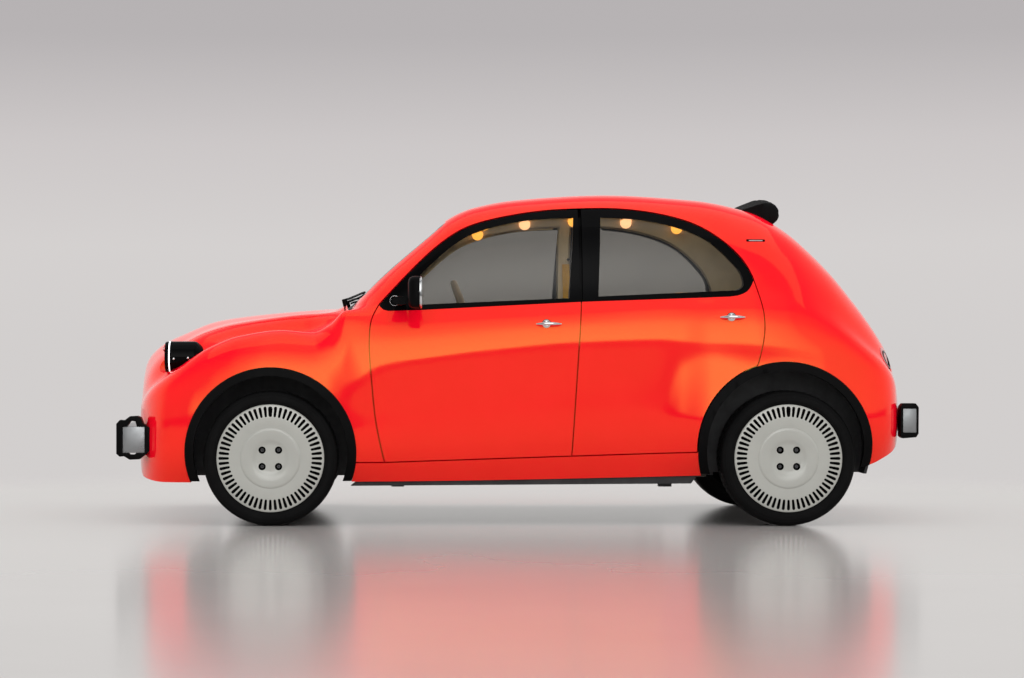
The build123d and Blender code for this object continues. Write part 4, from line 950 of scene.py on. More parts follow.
def tyre_mesh(centre):
    """Tyre with four grooves round it, slanted sipes and shallow rings on its sidewalls."""
    tread = [(x, TYRE_RADIUS + r) for x, r in TREAD]
    inner = TYRE_INNER_BEAD + [(-x, r) for x, r in TYRE_WALL[len(TYRE_INNER_BEAD):]]
    profile = (TYRE_WALL + tread + [(-x, r) for x, r in reversed(tread)] + inner[::-1]
               + [(-72.0, 226.5), (72.0, 226.5)])
    count = TREAD_BLOCKS * BLOCK_SAMPLES
    verts = []
    for k, angle in enumerate(circle(count)):
        row = []
        for x, r in profile:
            start = (k + round(abs(x) / 9.0)) % BLOCK_SAMPLES == 0
            if start and abs(x) < 86 and r > TYRE_RADIUS - 6 and not 17 < abs(x) < 28:
                r -= 6.5 if abs(x) < 70 else 3.5
            row.append((x, r))
        verts += spun(centre, row, angle)
    return smooth(make_mesh(verts, ring_faces(count, len(profile), around=True)), 30)


def capsule(inner, outer, inner_half, outer_half):
    """Outline (along, across) of a radial slot with round ends and its own half width at each."""
    ends = np.linspace(-1.5, 1.5, 5)
    return ([(outer - outer_half * (1 - math.cos(a)), outer_half * math.sin(a)) for a in ends]
            + [(inner + inner_half * (1 - math.cos(a)), -inner_half * math.sin(a)) for a in ends])


def cover_cutter(centre, low, high):
    """Sixty rounded radial slots, the one at the top wider, and four holes for the nuts."""
    shapes = [(capsule(191, 241, 5.6, 7.2), math.pi / 2 + turn) for turn in circle(COVER_SLOTS)]
    shapes[0] = (capsule(191, 241, 8.0, 10.5), math.pi / 2)
    hole = [(NUT_CIRCLE + 17 * math.cos(a), 17 * math.sin(a)) for a in circle(32)]
    verts, faces = [], []
    for shape, turn in shapes + [(hole, turn) for turn in NUT_TURNS]:
        c, s = math.cos(turn), math.sin(turn)
        faces += [tuple(len(verts) + i for i in face) for face in ring_faces(2, len(shape))]
        verts += [((centre[0] + x) * MM, (centre[1] + r * c - t * s) * MM, (centre[2] + r * s + t * c) * MM)
                  for x in (low, high) for r, t in shape]
    return make_mesh(verts, faces, 2)


def cover_mesh(centre):
    """Dished disc with a slotted edge; its slots' walls are black."""
    profile = COVER_FRONT + COVER_BACK
    n, verts, faces = len(profile), [], []
    for angle in circle(COVER_SAMPLES):
        verts += spun(centre, profile, angle)
    hub, back = len(verts), len(verts) + 1
    verts += spun(centre, [(COVER_FRONT[0][0], 0), (COVER_BACK[-1][0], 0)], 0.0)
    for k in range(COVER_SAMPLES):
        a, b = k * n, (k + 1) % COVER_SAMPLES * n
        faces += [(a + i, a + i + 1, b + i + 1, b + i) for i in range(n - 1)]
        faces += [(hub, a, b), (back, b + n - 1, a + n - 1)]
    cover = without(make_mesh(verts, faces), cover_cutter(centre, 70, 120))
    for face in cover.polygons:
        if face.material_index == 2 and abs(face.normal.x) < 0.3:
            face.material_index = 1
    return smooth(cover, 24)


for end, axle in AXLES:
    centre, body = (WHEEL_X, axle, TYRE_RADIUS), f"{end}_wheel"
    pair(f"{end}_wheel_cover", cover_mesh(centre), body, [COVER, BLACK, COVER],
         [f"{end}_wheel"])
    pair(f"{end}_wheel_barrel", smooth(lathe(BARREL, centre), 25), body, [GLOSS_BLACK])
    pair(f"{end}_tyre_rubber", tyre_mesh(centre), body, [RUBBER], [f"{end}_tyre"])
    nut = [(72.5, 3.0), (72.5, 10.0), (80, 10.0), (82, 7.0), (82, 3.0)]
    nuts = [lathe(nut, (WHEEL_X, axle + NUT_CIRCLE * math.cos(a), TYRE_RADIUS + NUT_CIRCLE * math.sin(a)), 6)
            for a in NUT_TURNS]
    pair(f"{end}_wheel_nuts", smooth(joined_meshes(*nuts)), body, [STEEL])

# ---------------------------------------------------------------- headlamps and tail lamps
for part, finish, profile, count in (
        ("housing", GLOSS_BLACK,
         [(-1462, 0.5), (-1462, 24), (-1464.5, 30), (-1472, 38.5), (-1488, 54.5), (-1498, 64),
          (-1508, 71.5), (-1516, 73.8), (-1524, 74), (-1631, 74), (-1631, 66), (-1530, 60), (-1500, 50),
          (-1500, 0.5)], 96),
        ("light_ring", WHITE_LIGHT,
         [(-1631, 66), (-1631, 73.8), (-1637, 73.8), (-1639, 71), (-1639, 66)], 96),
        ("bezel", GLOSS_BLACK,
         [(-1637.2, 60), (-1637.2, 73.4), (-1650, 73), (-1655.5, 69), (-1656, 63), (-1650, 60)], 96),
        ("lens", CLEAR, [(-1642, 0.5), (-1642, 60.5), (-1647, 60.5), (-1652, 40), (-1654, 0.5)], 96),
        ("reflector", CHROME,
         [(-1560, 0.5), (-1566, 20), (-1590, 40), (-1632, 58), (-1632, 60), (-1588, 43), (-1562, 22),
          (-1556, 0.5)], 96),
        ("projector", CLEAR, [(-1566, 0.5), (-1566, 14), (-1590, 17), (-1604, 12), (-1608, 0.5)], 48)):
    left = smooth(pod(profile, LAMP_X, LAMP_Z, count))
    piece(f"headlamp_{part}", joined_meshes(left, mirrored(left)), "root", [finish],
          ["headlamps"] if part == "housing" else [])
screw = [(-1, 0.5), (-1, 5.0), (1.6, 5.0), (2.4, 3.4), (2.4, 0.5)]
screws = [lathe(screw, (LAMP_X + math.sqrt(LAMP_RADIUS ** 2 - (z - LAMP_Z) ** 2), y, z), 24)
          for y, z in ((-1612.0, 775.0), (-1545.0, 779.0))]
pair("headlamp_screws", smooth(joined_meshes(*screws)), "root", [CHROME])

tail_rod = rod(TAIL_RADIUS, (TAIL_X, TAIL_LAMP_Y[0], TAIL_Z), (TAIL_X, TAIL_LAMP_Y[1] + 60, TAIL_Z))
tail = carry_normals(common(TRIM_OUT, tail_rod), None)
pair("tail_lamp_lens", bevelled(tail, 2.0, 2, 40), "root", [RED_LENS])
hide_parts("tail_lamps")
band = without(rod(44, (TAIL_X, 1500, TAIL_Z), (TAIL_X, 1900, TAIL_Z)),
               rod(34, (TAIL_X, 1400, TAIL_Z), (TAIL_X, 2000, TAIL_Z)))
lens_out = hull(even(-6.0), 1440, 1832, 0.0, 14.0, 7)
tail_band = common(without(lens_out, TRIM_OUT), band)
pair("tail_lamp_ring", carry_normals(tail_band, None), "root", [GLOSS_BLACK])


# ---------------------------------------------------------------- bumpers and their guards
def arc_points(y_middle, y_end, count=32):
    """Points of the arc in plan through both ends at y_end and the middle at y_middle."""
    rise = y_end - y_middle
    radius = (BEAM_END_X ** 2 + rise ** 2) / (2 * rise)
    out = []
    for k in range(count + 1):
        x = -BEAM_END_X + 2 * BEAM_END_X * k / count
        out.append((x, y_middle + radius - math.copysign(math.sqrt(radius ** 2 - x * x), radius)))
    return out


def beam_mesh(outer, inner, z):
    """Bumper bar between two arcs, each given as its y at the middle and at the ends."""
    return prism(arc_points(*outer) + arc_points(*inner)[::-1], *z, 2, 0)


def plate_holes(face_y, inward, z):
    return [rod(3.25, (x, face_y - inward * 20, z), (x, face_y + inward * 30, z), 24)
            for x in (-120.0, 120.0)]


FRONT_FACE, REAR_FACE = (-1880, -1848), (1880, 1874)
towing_eye = rod(9.0, (-440, -1900, 395), (-440, -1826, 395), 32)
front_beam = without(beam_mesh(FRONT_FACE, (-1830, -1742), FRONT_BEAM_Z), *plate_holes(-1880, 1, 395),
                     towing_eye)
rear_beam = without(beam_mesh(REAR_FACE, (1848, 1802), REAR_BEAM_Z), *plate_holes(1880, -1, 485))
for end, beam, arm_y, (low, high) in (("front", front_beam, (-1834, -1690), FRONT_BEAM_Z),
                                      ("rear", rear_beam, (1720, 1846), REAR_BEAM_Z)):
    middle = (low + high) / 2
    arm = block((BRACKET_X - ARM_HALF, BRACKET_X + ARM_HALF), arm_y, (middle - ARM_HALF, middle + ARM_HALF))
    piece(f"{end}_bumper_bar", smooth(bevelled(beam, 5.0, 3, 40)), "root", [ALUMINIUM],
          [f"{end}_bumper"])
    pair(f"{end}_bumper_arm", smooth(bevelled(arm, 3.0, 2)), "root", [BLACK])


def guard_mesh(corners, hole):
    """Ring round the end of a bumper bar, cut where it would enter the body."""
    return without(without(prism(corners, 640, 706, 0, 0), prism(hole, 600, 760, 0, 0)), OUTER)


front_guard = guard_mesh([(-1878, 330), (-1862, 316), (-1842, 318), (-1815, 302), (-1770, 304),
                          (-1724, 340), (-1722, 452), (-1752, 470), (-1764, 500), (-1780, 507),
                          (-1815, 505), (-1840, 486), (-1862, 488), (-1878, 470)],
                         [(-1850, 334), (-1826, 334), (-1816, 325), (-1794, 325), (-1784, 334),
                          (-1746, 334), (-1746, 456), (-1782, 457), (-1788, 481), (-1810, 484),
                          (-1830, 457), (-1850, 456)])
rear_guard = guard_mesh([(1792, 412), (1804, 402), (1868, 407), (1879, 424), (1880, 548), (1866, 566),
                         (1806, 566), (1794, 552)],
                        [(1807, 429), (1870, 429), (1870, 541), (1807, 541)])
guards = []
for mesh in (front_guard, rear_guard):
    mesh = smooth(bevelled(mesh, 3.5, 3, 30))
    guards += [mesh, mirrored(mesh)]
piece("bumper_guard_rings", joined_meshes(*guards), "root", [BLACK], ["bumper_guards"])
strips = []
for face_arc, thick, z in ((FRONT_FACE, -3.0, (372, 418)), (REAR_FACE, 3.0, (462, 508))):
    for first, last in ((-640, -150), (150, 640)):
        line = [p for p in arc_points(*face_arc, 64) if first <= p[0] <= last]
        points = [(x, y + thick) for x, y in line] + [(x, y - thick * 0.5) for x, y in reversed(line)]
        strips.append(prism(points, *z, 2, 0))
piece("bumper_strips", smooth(bevelled(joined_meshes(*strips), 1.5, 2)), "root", [RUBBER])


# ---------------------------------------------------------------- mirrors, handles, pillar vents
HEAD_X, HEAD_Z, HEAD_POWER = 858.0, 1083.0, 4.0


def squircle(half_width, half_height, y):
    """Ring of points round the mirror's middle, between an ellipse and a rectangle."""
    out = []
    for a in circle(48):
        c, s = math.cos(a), math.sin(a)
        reach = (abs(c) ** HEAD_POWER + abs(s) ** HEAD_POWER) ** (-1 / HEAD_POWER)
        out.append((HEAD_X + half_width * c * reach, y, HEAD_Z + half_height * s * reach))
    return out


MIRROR = metal("mirror_glass", (0.86, 0.87, 0.88), 0.02, (1, 1, 1), 30.0, 0.002)
for part, slot, finish, rings in (
        ("shell", "gloss_black", BLACK,
         [(10, 20, -513), (34, 44, -512), (50, 59, -509), (60, 68, -503), (66, 73, -493), (69, 75, -478),
          (70, 75, -460), (69, 74, -458), (60, 65, -458), (59, 64, -466)]),
        ("rim", "gloss_black", CHROME,
         [(70.4, 75.4, -454), (70.2, 75.2, -451), (68, 73, -448), (62, 67, -448), (61, 66, -456)]),
        ("face", "glass", MIRROR, [(61, 66, -466), (61, 66, -454), (60, 65, -453)])):
    pair(f"mirror_{part}", smooth(rings_mesh([squircle(*ring) for ring in rings]), 40), "front_door",
         [finish], ["mirror"] if part == "shell" else [])
arm_x = surface_x(-545, 1046)
arm = rings_mesh([[(x, -548 + w * math.cos(a), 1045 + h * math.sin(a)) for a in circle(32)]
                  for x, w, h in ((arm_x - 40, 24, 22), (arm_x + 4, 25, 23), (arm_x + 30, 24, 22),
                                  (HEAD_X - 50, 34, 22), (HEAD_X - 20, 38, 20))])
pair("mirror_arm", smooth(without(arm, OUTER), 40), "front_door", [BLACK])
pivot_place = (arm_x, -574, 1046)
pivot = lathe([(-40, 0.5), (-40, 25), (8, 25), (12, 22), (12, 17), (9, 14), (9, 0.5)], pivot_place, 48)
pair("mirror_pivot", smooth(without(pivot, OUTER), 30), "front_door", [BLACK])
pivot_ring = lathe([(10, 21.5), (10, 23.8), (12, 23.5), (12.4, 22.5), (12, 21.7)], pivot_place, 48)
pair("mirror_pivot_ring", smooth(pivot_ring, 60), "front_door", [CHROME])

for end, first_y, last_y, lock_y, z in (("front", 86.0, 200.0, 132.0, 937.0),
                                        ("rear", 937.0, 1047.0, 988.0, 968.0)):
    points = []
    for k in range(21):
        t = k / 20
        y = mix(first_y, last_y, t)
        points.append((surface_x(y, z) + 20 - 12 * (2 * t - 1) ** 4, y, z + 1.5 * math.sin(3.14 * t)))
    grip = tube(points, lambda t: 2.5 + 5.5 * math.sin(math.pi * min(max(t, 0.03), 0.97)) ** 0.6, 16)
    lock = (surface_x(lock_y, z), lock_y, z)
    rosette = lathe([(-3, 0.5), (-3, 19.5), (3, 19.5), (6, 17), (8.5, 11), (9, 0.5)], lock, 48)
    stem = lathe([(0, 0.5), (0, 8), (22, 8), (22, 0.5)], lock, 24)
    gasket = lathe([(-4, 19), (-4, 22), (0.6, 22), (0.6, 19)], lock, 48)
    handle = joined_meshes(smooth(grip, 50), smooth(rosette), smooth(stem))
    pair(f"{end}_door_handle", handle, f"{end}_door", [CHROME])
    pair(f"{end}_handle_gasket", smooth(gasket), f"{end}_door", [RUBBER])

vent_line = [(surface_x(y, 1330) - 1.0, y, 1330.0) for y in np.linspace(1078, 1165, 9)]
vent_insert = [(x + 3.5, y, z) for x, y, z in vent_line[1:-1]]
pair("pillar_vent_frame", smooth(tube(vent_line, 6.5, 16), 50), "root", [GLOSS_BLACK])
pair("pillar_vent_insert", smooth(tube(vent_insert, 3.6), 50), "root", [CHROME])

# ---------------------------------------------------------------- wipers and end glass
wipers = []
for x0, x1 in ((430.0, -60.0), (-90.0, -520.0)):
    blade, arm_line = [], []
    for k in range(25):
        t = k / 24
        x, y = mix(x0, x1, t), mix(-819.0, -727.0, t)
        z = mix(1053, 1103, t) - t * (above_z(0, y) - above_z(x, y))
        arm_line.append((x, y, z))
        if 4 < k < 24:
            blade.append((x, y + 3, max(z - 14, above_z(x, y + 3) + 6)))
    boss = rod(13, (x0, -806, above_z(x0, -810) - 10), (x0, -817, 1060), 32)
    wipers += [smooth(bevelled(boss, 4, 2)), smooth(tube(blade, 3.6, 10, flat=1.4), 60),
               smooth(tube(arm_line, 6.0, 10, flat=0.9), 60)]
piece("wipers", joined_meshes(*wipers), "root", [BLACK])


def shrunk(points, margin, low, high):
    """Cutter along Y inside a closed outline by a margin."""
    return prism(outline(both_sides(points), -margin), low, high, 1)


border = without(common(PANE, end_prism(WINDSHIELD_END, -900, -240, -SEAT_FIT)),
                 shrunk(WINDSHIELD_END, 34, -920, -200))
clear = common(PANE, shrunk(WINDSHIELD_END, 34, -920, -240))
back_border = without(common(PANE, end_prism(TAILGATE_WINDOW_END, 1200, 1900, -SEAT_FIT)),
                      shrunk(TAILGATE_WINDOW_END, 22, 1100, 1950))
back_clear = common(PANE, shrunk(TAILGATE_WINDOW_END, 22, 1200, 1900))
lining = common(without(hull(even(14.0), *GLASS_Y), hull(even(20.0), *GLASS_Y)),
                without(shrunk(WINDSHIELD_END, 2, -900, -200), shrunk(WINDSHIELD_END, 52, -920, -180)))
piece("windshield_lining", smooth(with_slot(lining, 0)), "root", [TRIM])
for name, mesh, body, slot, finish, replaced in (
        ("windshield_pane", clear, "root", "glass", GLASS, ["windshield"]),
        ("windshield_border", border, "root", "gloss_black", GLOSS_BLACK, []),
        ("tailgate_window", back_clear, "tailgate", "glass", GLASS, ["tailgate_glass"]),
        ("tailgate_window_border", back_border, "tailgate", "gloss_black", GLOSS_BLACK, [])):
    finished(name, mesh, body, [finish], replaced, GLASS_SKIN, both=False)
handle_y = met(SKIN.tree, (0, 2500, 690), (0, -1, 0)).y
bar = rounded_block((-150, 150), (handle_y - 10, handle_y + 14), (676, 700), 6)
piece("tailgate_handle", smooth(bar), "tailgate", [CHROME])


# ---------------------------------------------------------------- padded pieces, swollen as cloth
def swollen(mesh, cap, voxel=8.5):
    """The closed mesh remeshed, then blown up as cloth by at most cap mm."""
    start = modified(mesh, ("REMESH", {"mode": "VOXEL", "voxel_size": voxel * MM}))
    pad = bpy.data.objects.new("pad", start)
    SCENE.collection.objects.link(pad)
    cloth = pad.modifiers.new("cloth", "CLOTH")
    cloth.settings.quality = 5
    cloth.settings.mass = 0.3
    cloth.settings.tension_stiffness = cloth.settings.compression_stiffness = 12
    cloth.settings.shear_stiffness = 6
    cloth.settings.bending_stiffness = 0.6
    cloth.settings.use_pressure = True
    cloth.settings.uniform_pressure_force = 4.0
    cloth.settings.effector_weights.gravity = 0
    cloth.collision_settings.use_collision = False
    cloth.point_cache.frame_end = 24
    before = np.array([v.co for v in start.vertices])
    for k in range(1, 21):
        SCENE.frame_set(k)
    graph = bpy.context.evaluated_depsgraph_get()
    result = bpy.data.meshes.new_from_object(pad.evaluated_get(graph))
    bpy.data.objects.remove(pad)
    SCENE.frame_set(1)
    move = np.array([v.co for v in result.vertices]) - before
    size = np.linalg.norm(move, axis=1, keepdims=True) + 1e-12
    after = before + move * np.minimum(1.0, cap * MM / size)
    result.vertices.foreach_set("co", after.astype(np.float32).ravel())
    result.update()
    return result


def creased(mesh, facing, channels):
    """Sewn channels (axis, place, depth, width) pressed into the side that faces (axis, sign)."""
    axis, sign = facing
    normals = [v.normal.copy() for v in mesh.vertices]
    for v, n in zip(mesh.vertices, normals):
        if sign * n[axis] > 0.3:
            p = v.co / MM
            v.co = v.co - n * MM * sum(depth * math.exp(-((p[i] - place) / width) ** 2)
                                       for i, place, depth, width in channels)
    mesh.update()
    for f in mesh.polygons:
        f.use_smooth = True
    return mesh


def ribs(middle_x, gap, axis, place):
    """Five channels along a pad, a gap apart, and one across it at a place on an axis."""
    return [(0, middle_x + k * gap, 7, 9) for k in range(-2, 3)] + [(axis, place, 6, 9)]


def seam(mesh, centre, u, v):
    """Piping round a pad, where a plane through its centre cuts it."""
    bm = bmesh.new()
    bm.from_mesh(mesh)
    tree = BVHTree.FromBMesh(bm)
    bm.free()
    centre, u, v = Vector(centre), Vector(u).normalized(), Vector(v).normalized()
    points = []
    for a in circle(72):
        d = u * math.cos(a) + v * math.sin(a)
        hit = tree.ray_cast((centre + d * 900) * MM, -d)[0]
        if hit is not None:
            points.append(hit / MM)
    return smooth(tube(points, 3.6, 8, closed=True), 80)


def tilted(x, y, z, radius, angle, about):
    """Rounded block leaned back by an angle."""
    turn = Matrix.Rotation(math.radians(-angle), 4, "X")
    return moved(rounded_block(x, y, z, radius, 5), turn, about)


def seat_pieces(row, parts):
    """Left and right pieces of a row of seats; the seat cloth meshes come already padded."""
    for name, mesh, finish in parts:
        for twin in pair(f"{row}_{name}", mesh, "root", [finish]):
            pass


UP, FORWARD = (2, 1), (1, -1)
DRIVER_X, BACK_TILT = 370.0, 11.0
BACK_PIVOT, LEAN = (DRIVER_X, 350, 450), math.tan(math.radians(BACK_TILT))


def across_driver(half):
    return (DRIVER_X - half, DRIVER_X + half)


cushion = swollen(rounded_block(across_driver(232), (-146, 296), (368, 474), 38, 5), 13)
cushion = creased(cushion, UP, ribs(DRIVER_X, 75, 1, -60))
back = swollen(tilted(across_driver(225), (318, 396), (476, 800), 34, BACK_TILT, BACK_PIVOT), 12)
back = creased(back, FORWARD, ribs(DRIVER_X, 75, 2, 720))
rest = swollen(tilted(across_driver(120), (326, 384), (834, 932), 26, BACK_TILT, BACK_PIVOT), 9, 7.0)
rest = creased(rest, FORWARD, [(0, DRIVER_X, 5, 8)])
stalks = [tube([(DRIVER_X + o, 350 + (z - 450) * LEAN, z) for z in (770, 800, 830, 860)], 6)
          for o in (-55, 55)]
base = [rounded_block(across_driver(190), (-70, 320), (300, 372), 12),
        rounded_block((DRIVER_X - 180, DRIVER_X - 150), (-75, 325), (212, 302), 5),
        rounded_block((DRIVER_X + 150, DRIVER_X + 180), (-75, 325), (212, 302), 5)]
base += [rounded_block((DRIVER_X + o - 12, DRIVER_X + o + 12), (150, 380), (372, 440), 10)
         for o in (-222, 222)]
seat_pieces("front", (
    ("seat_cushion", cushion, SEAT), ("seat_back", back, SEAT), ("seat_headrest", rest, SEAT),
    ("seat_cushion_piping", seam(cushion, (DRIVER_X, 75, 445), (1, 0, 0), (0, 1, 0)), PIPING),
    ("seat_back_piping", seam(back, (DRIVER_X, 377 + 95 * LEAN, 640), (1, 0, 0), (0, LEAN, 1)), PIPING),
    ("seat_stalks", smooth(joined_meshes(*stalks), 60), CHROME),
    ("seat_base", smooth(joined_meshes(*base)), BLACK)))
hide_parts("front_seats")

BENCH_X, BENCH_TILT, BENCH_PIVOT = 275.0, 10.0, (275, 960, 470)
BENCH_LEAN = math.tan(math.radians(BENCH_TILT))
bench = swollen(rounded_block((14, 536), (612, 922), (384, 482), 34, 5), 12)
bench = creased(bench, UP, ribs(BENCH_X, 80, 1, 690))
back = swollen(tilted((14, 536), (948, 1018), (486, 850), 30, BENCH_TILT, BENCH_PIVOT), 10)
back = creased(back, FORWARD, ribs(BENCH_X, 80, 2, 790))
rest = swollen(tilted((165, 385), (958, 1008), (866, 922), 20, BENCH_TILT, BENCH_PIVOT), 8, 7.0)
seat_pieces("rear", (
    ("bench_cushion", bench, SEAT), ("bench_back", back, SEAT), ("bench_headrest", rest, SEAT),
    ("bench_cushion_piping", seam(bench, (BENCH_X, 767, 455), (1, 0, 0), (0, 1, 0)), PIPING),
    ("bench_back_piping", seam(back, (BENCH_X, 985 + 200 * BENCH_LEAN, 670), (1, 0, 0),
                               (0, BENCH_LEAN, 1)), PIPING)))
bench_base = smooth(joined_meshes(rounded_block((-556, 556), (606, 905), (214, 392), 14)))
piece("rear_bench_base", bench_base, "root", [CARPET], ["rear_seat"])

# ---------------------------------------------------------------- dashboard and steering wheel
DASH_PROFILE = [(-762, 700), (-690, 640), (-560, 640), (-486, 760), (-468, 880), (-486, 930),
                (-560, 944), (-690, 938), (-762, 905)]
for name, cut_z, slot, finish, replaced in (
        ("dashboard_top", (600, 792), "trim", TRIM, ["dashboard"]),
        ("dashboard_lower", (797, 1000), "black_plastic", BLACK, [])):
    dash = bevelled(prism(DASH_PROFILE, -640, 640, 0, 0), 14, 4)
    cut = [(-800, cut_z[0]), (-400, cut_z[0]), (-400, cut_z[1]), (-800, cut_z[1])]
    piece(name, smooth(without(dash, prism(cut, -700, 700, 0, 0))), "root", [finish], replaced)
screen = joined_meshes(rounded_block((-120, 150), (-486, -462), (820, 925), 6))
piece("dashboard_screen", smooth(screen), "root", [GLOSS_BLACK])
hood = rounded_block(across_driver(130), (-560, -462), (850, 940), 22, 5)
piece("instrument_hood", smooth(hood), "root", [BLACK])
vents = []
for x in (-560, -250, 210, 575):
    y, z = -470.0, 872
    vents.append(pod([(y - 12, 24), (y - 12, 34), (y + 2, 34), (y + 6, 31), (y + 6, 27), (y - 2, 24)],
                     x, z, 48))
    vents += [rounded_block((x - 25, x + 25), (y - 8, y), (z + o - 1.5, z + o + 1.5), 0.8, 1)
              for o in (-14, -7, 0, 7, 14)]
piece("dashboard_vents", smooth(joined_meshes(*vents)), "root", [GLOSS_BLACK])

HUB, COLUMN_ANGLE, RIM_RADIUS = Vector((DRIVER_X, -230.0, 967.0)), math.radians(20.0), 180
COLUMN = Vector((0, math.cos(COLUMN_ANGLE), math.sin(COLUMN_ANGLE)))
RIM_UP = Vector((0, -math.sin(COLUMN_ANGLE), math.cos(COLUMN_ANGLE)))


def from_hub(angle, radius, along=0.0):
    """A point at an angle and a radius round the column, and a distance along it towards the driver."""
    return HUB + COLUMN * along + (Vector((1, 0, 0)) * math.cos(angle) + RIM_UP * math.sin(angle)) * radius


rim = tube([from_hub(a, RIM_RADIUS) for a in circle(96)], 15.5, 20, closed=True)
spokes = [tube([from_hub(a, r, 8 * (r / RIM_RADIUS) ** 2 - 14) for r in (30, 60, 90, 120, 150, 172)],
               lambda t: 19 - 8 * t, 14, flat=0.4) for a in (0.0, math.pi, -math.pi / 2)]
pad = rings_mesh([[from_hub(a, r, along) for a in circle(48)] for along, r in
                  ((-22, 46), (-18, 55), (-4, 58), (3, 54), (7, 42), (8.5, 20))])
for name, mesh, slot, finish, replaced in (
        ("steering_rim", smooth(rim, 80), "steering_trim", TRIM, ["steering_wheel"]),
        ("steering_spokes", smooth(joined_meshes(*spokes), 60), "steering_trim", BLACK, []),
        ("steering_pad", smooth(pad, 40), "steering_trim", TRIM, []),
        ("steering_column_rod", smooth(rod(20.0, HUB - COLUMN * 260, HUB - COLUMN * 10, 48)), "steel",
         BLACK, [])):
    piece(name, mesh, "steering_wheel", [finish], replaced)
shroud = without(rod(36.0, HUB - COLUMN * 300, HUB - COLUMN * 165, 48),
                 rod(21.0, HUB - COLUMN * 262, HUB - COLUMN * 100, 48))
piece("steering_column_shroud", smooth(bevelled(shroud, 3, 2, 50)), "root", [BLACK])

# ---------------------------------------------------------------- cabin trim
CABIN_SKIN = BVHTree.FromPolygons([tuple(v.co) for v in CABIN.vertices],
                                  [tuple(f.vertices) for f in CABIN.polygons if len(f.vertices) < 5])


def cabin_x(y, z):
    """x of the cabin's own left wall."""
    return met(CABIN_SKIN, (0, y, z), (1, 0, 0)).x


carpet = common(CABIN, slab((-755, 590), (0, 297)))
piece("cabin_carpet", smooth(carpet, 30), "root", [CARPET])
globe = [(29 * math.cos(a), max(0.5, 29 * math.sin(a))) for a in np.linspace(0, math.pi, 19)]
lamps = [with_slot(lathe(globe, (cabin_x(y, z) - 10, y, z - 3), 40), k % 2) for k, (y, z) in
         enumerate(((-151, 1414), (91, 1466), (343, 1482), (613, 1474), (876, 1446)))]
pair("rail_lamps", smooth(common(joined_meshes(*lamps), CABIN), 40), "root", [WARM, ROSE])
belt = []
for k in range(13):
    y, z = 311 + 8 * math.sin(k / 4), mix(1262, 560, k / 12)
    x = cabin_x(311, z) - 6
    belt.append([(x + dx, y + dy, z) for dx, dy in ((-1.2, -19), (-1.2, 19), (1.2, 19), (1.2, -19))])
belts = pair("seat_belt", smooth(rings_mesh(belt), 40), "root", [YELLOW])
loop_x, foot_x = cabin_x(324, 1287), cabin_x(311, 560) - 6
anchors = joined_meshes(rod(7, (loop_x + 5, 324, 1287), (loop_x - 6, 324, 1287), 24),
                        rounded_block((foot_x - 12, foot_x + 8), (284, 346), (530, 575), 6))
pair("belt_anchors", smooth(anchors), "root", [BLACK])

# ---------------------------------------------------------------- rolled canvas roof
ROLL_Y, ROLL_Z, ROLL_X, ROLL_DROP, ROLL_R = 1214.0, 1500.0, 424.0, 34.0, 57.0
STRAPS = (-0.55, 0.0, 0.55)
FLAP_Y, FLAP_X, FLAP_ROWS, FLAP_COLUMNS = (1092, 1192), 419, 25, 39
random.seed(7)
folds = [random.uniform(0, 6.28) for _ in range(4)]


def roll_point(x, radius, angle):
    """A point round the roll, whose middle drops towards its ends."""
    z = ROLL_Z - ROLL_DROP * (x / ROLL_X) ** 2
    return (x, ROLL_Y + radius * math.cos(angle), z + radius * math.sin(angle))


rings = []
for k in range(121):
    t = 2 * k / 120 - 1
    pull = sum(3.0 * math.exp(-((t - strap) / 0.028) ** 2) for strap in STRAPS)
    end = max(0.0, abs(t) - 0.965) / 0.035
    ring = []
    for a in circle(64):
        wave = (0.9 * math.sin(5 * a + folds[0] + 2.0 * t) + 0.8 * math.sin(9 * a + folds[1] - 3 * t)
                + 0.7 * math.sin(13 * a + 6 * t + folds[2]) + 0.5 * math.sin(31 * t + 3 * a + folds[3]))
        lip = 3.2 * math.exp(-((a - 3.9) / 0.16) ** 2)
        radius = (ROLL_R - 3.0 + wave * 0.8 + lip - pull) * (1 - 0.35 * end ** 2)
        ring.append(roll_point(ROLL_X * t, radius, a))
    rings.append(ring)
roll = without(rings_mesh(rings), hull(even(-0.5), 900, 1600))
canvas = piece("canvas_roll", smooth(roll, 50), "root", [CANVAS], ["roof_canvas"])
straps = []
section = ((-9, ROLL_R - 4.5), (-9, ROLL_R - 2.4), (9, ROLL_R - 2.4), (9, ROLL_R - 4.5))
for strap in STRAPS:
    x, z = ROLL_X * strap, ROLL_Z - ROLL_DROP * strap ** 2
    straps.append(rings_mesh([[(x + dx, ROLL_Y + r * math.cos(a), z + r * math.sin(a)) for dx, r in section]
                              for a in np.linspace(-0.9, 4.0, 40)]))
piece("canvas_straps", smooth(joined_meshes(*straps), 50), "root", [BLACK])
rows = []
for k in range(FLAP_ROWS):
    t = k / (FLAP_ROWS - 1)
    y = mix(*FLAP_Y, t)
    row = []
    for j in range(FLAP_COLUMNS):
        x = mix(-FLAP_X, FLAP_X, j / (FLAP_COLUMNS - 1))
        start = above_z(x, FLAP_Y[0]) + 2.5
        roll_top = ROLL_Z - ROLL_DROP * (x / ROLL_X) ** 2 + math.sqrt((ROLL_R - 2) ** 2 - 22 ** 2)
        sag = 0.9 * math.sin(x / 23 + 3 * t) * math.sin(math.pi * t)
        row.append((x, y, max(mix(start, roll_top, t) + sag, above_z(x, y) + 2.5)))
    foot = above_z(FLAP_X, y) - 3
    rows.append([(-FLAP_X - 2, y, foot)] + row + [(FLAP_X + 2, y, foot)])
columns = FLAP_COLUMNS + 2
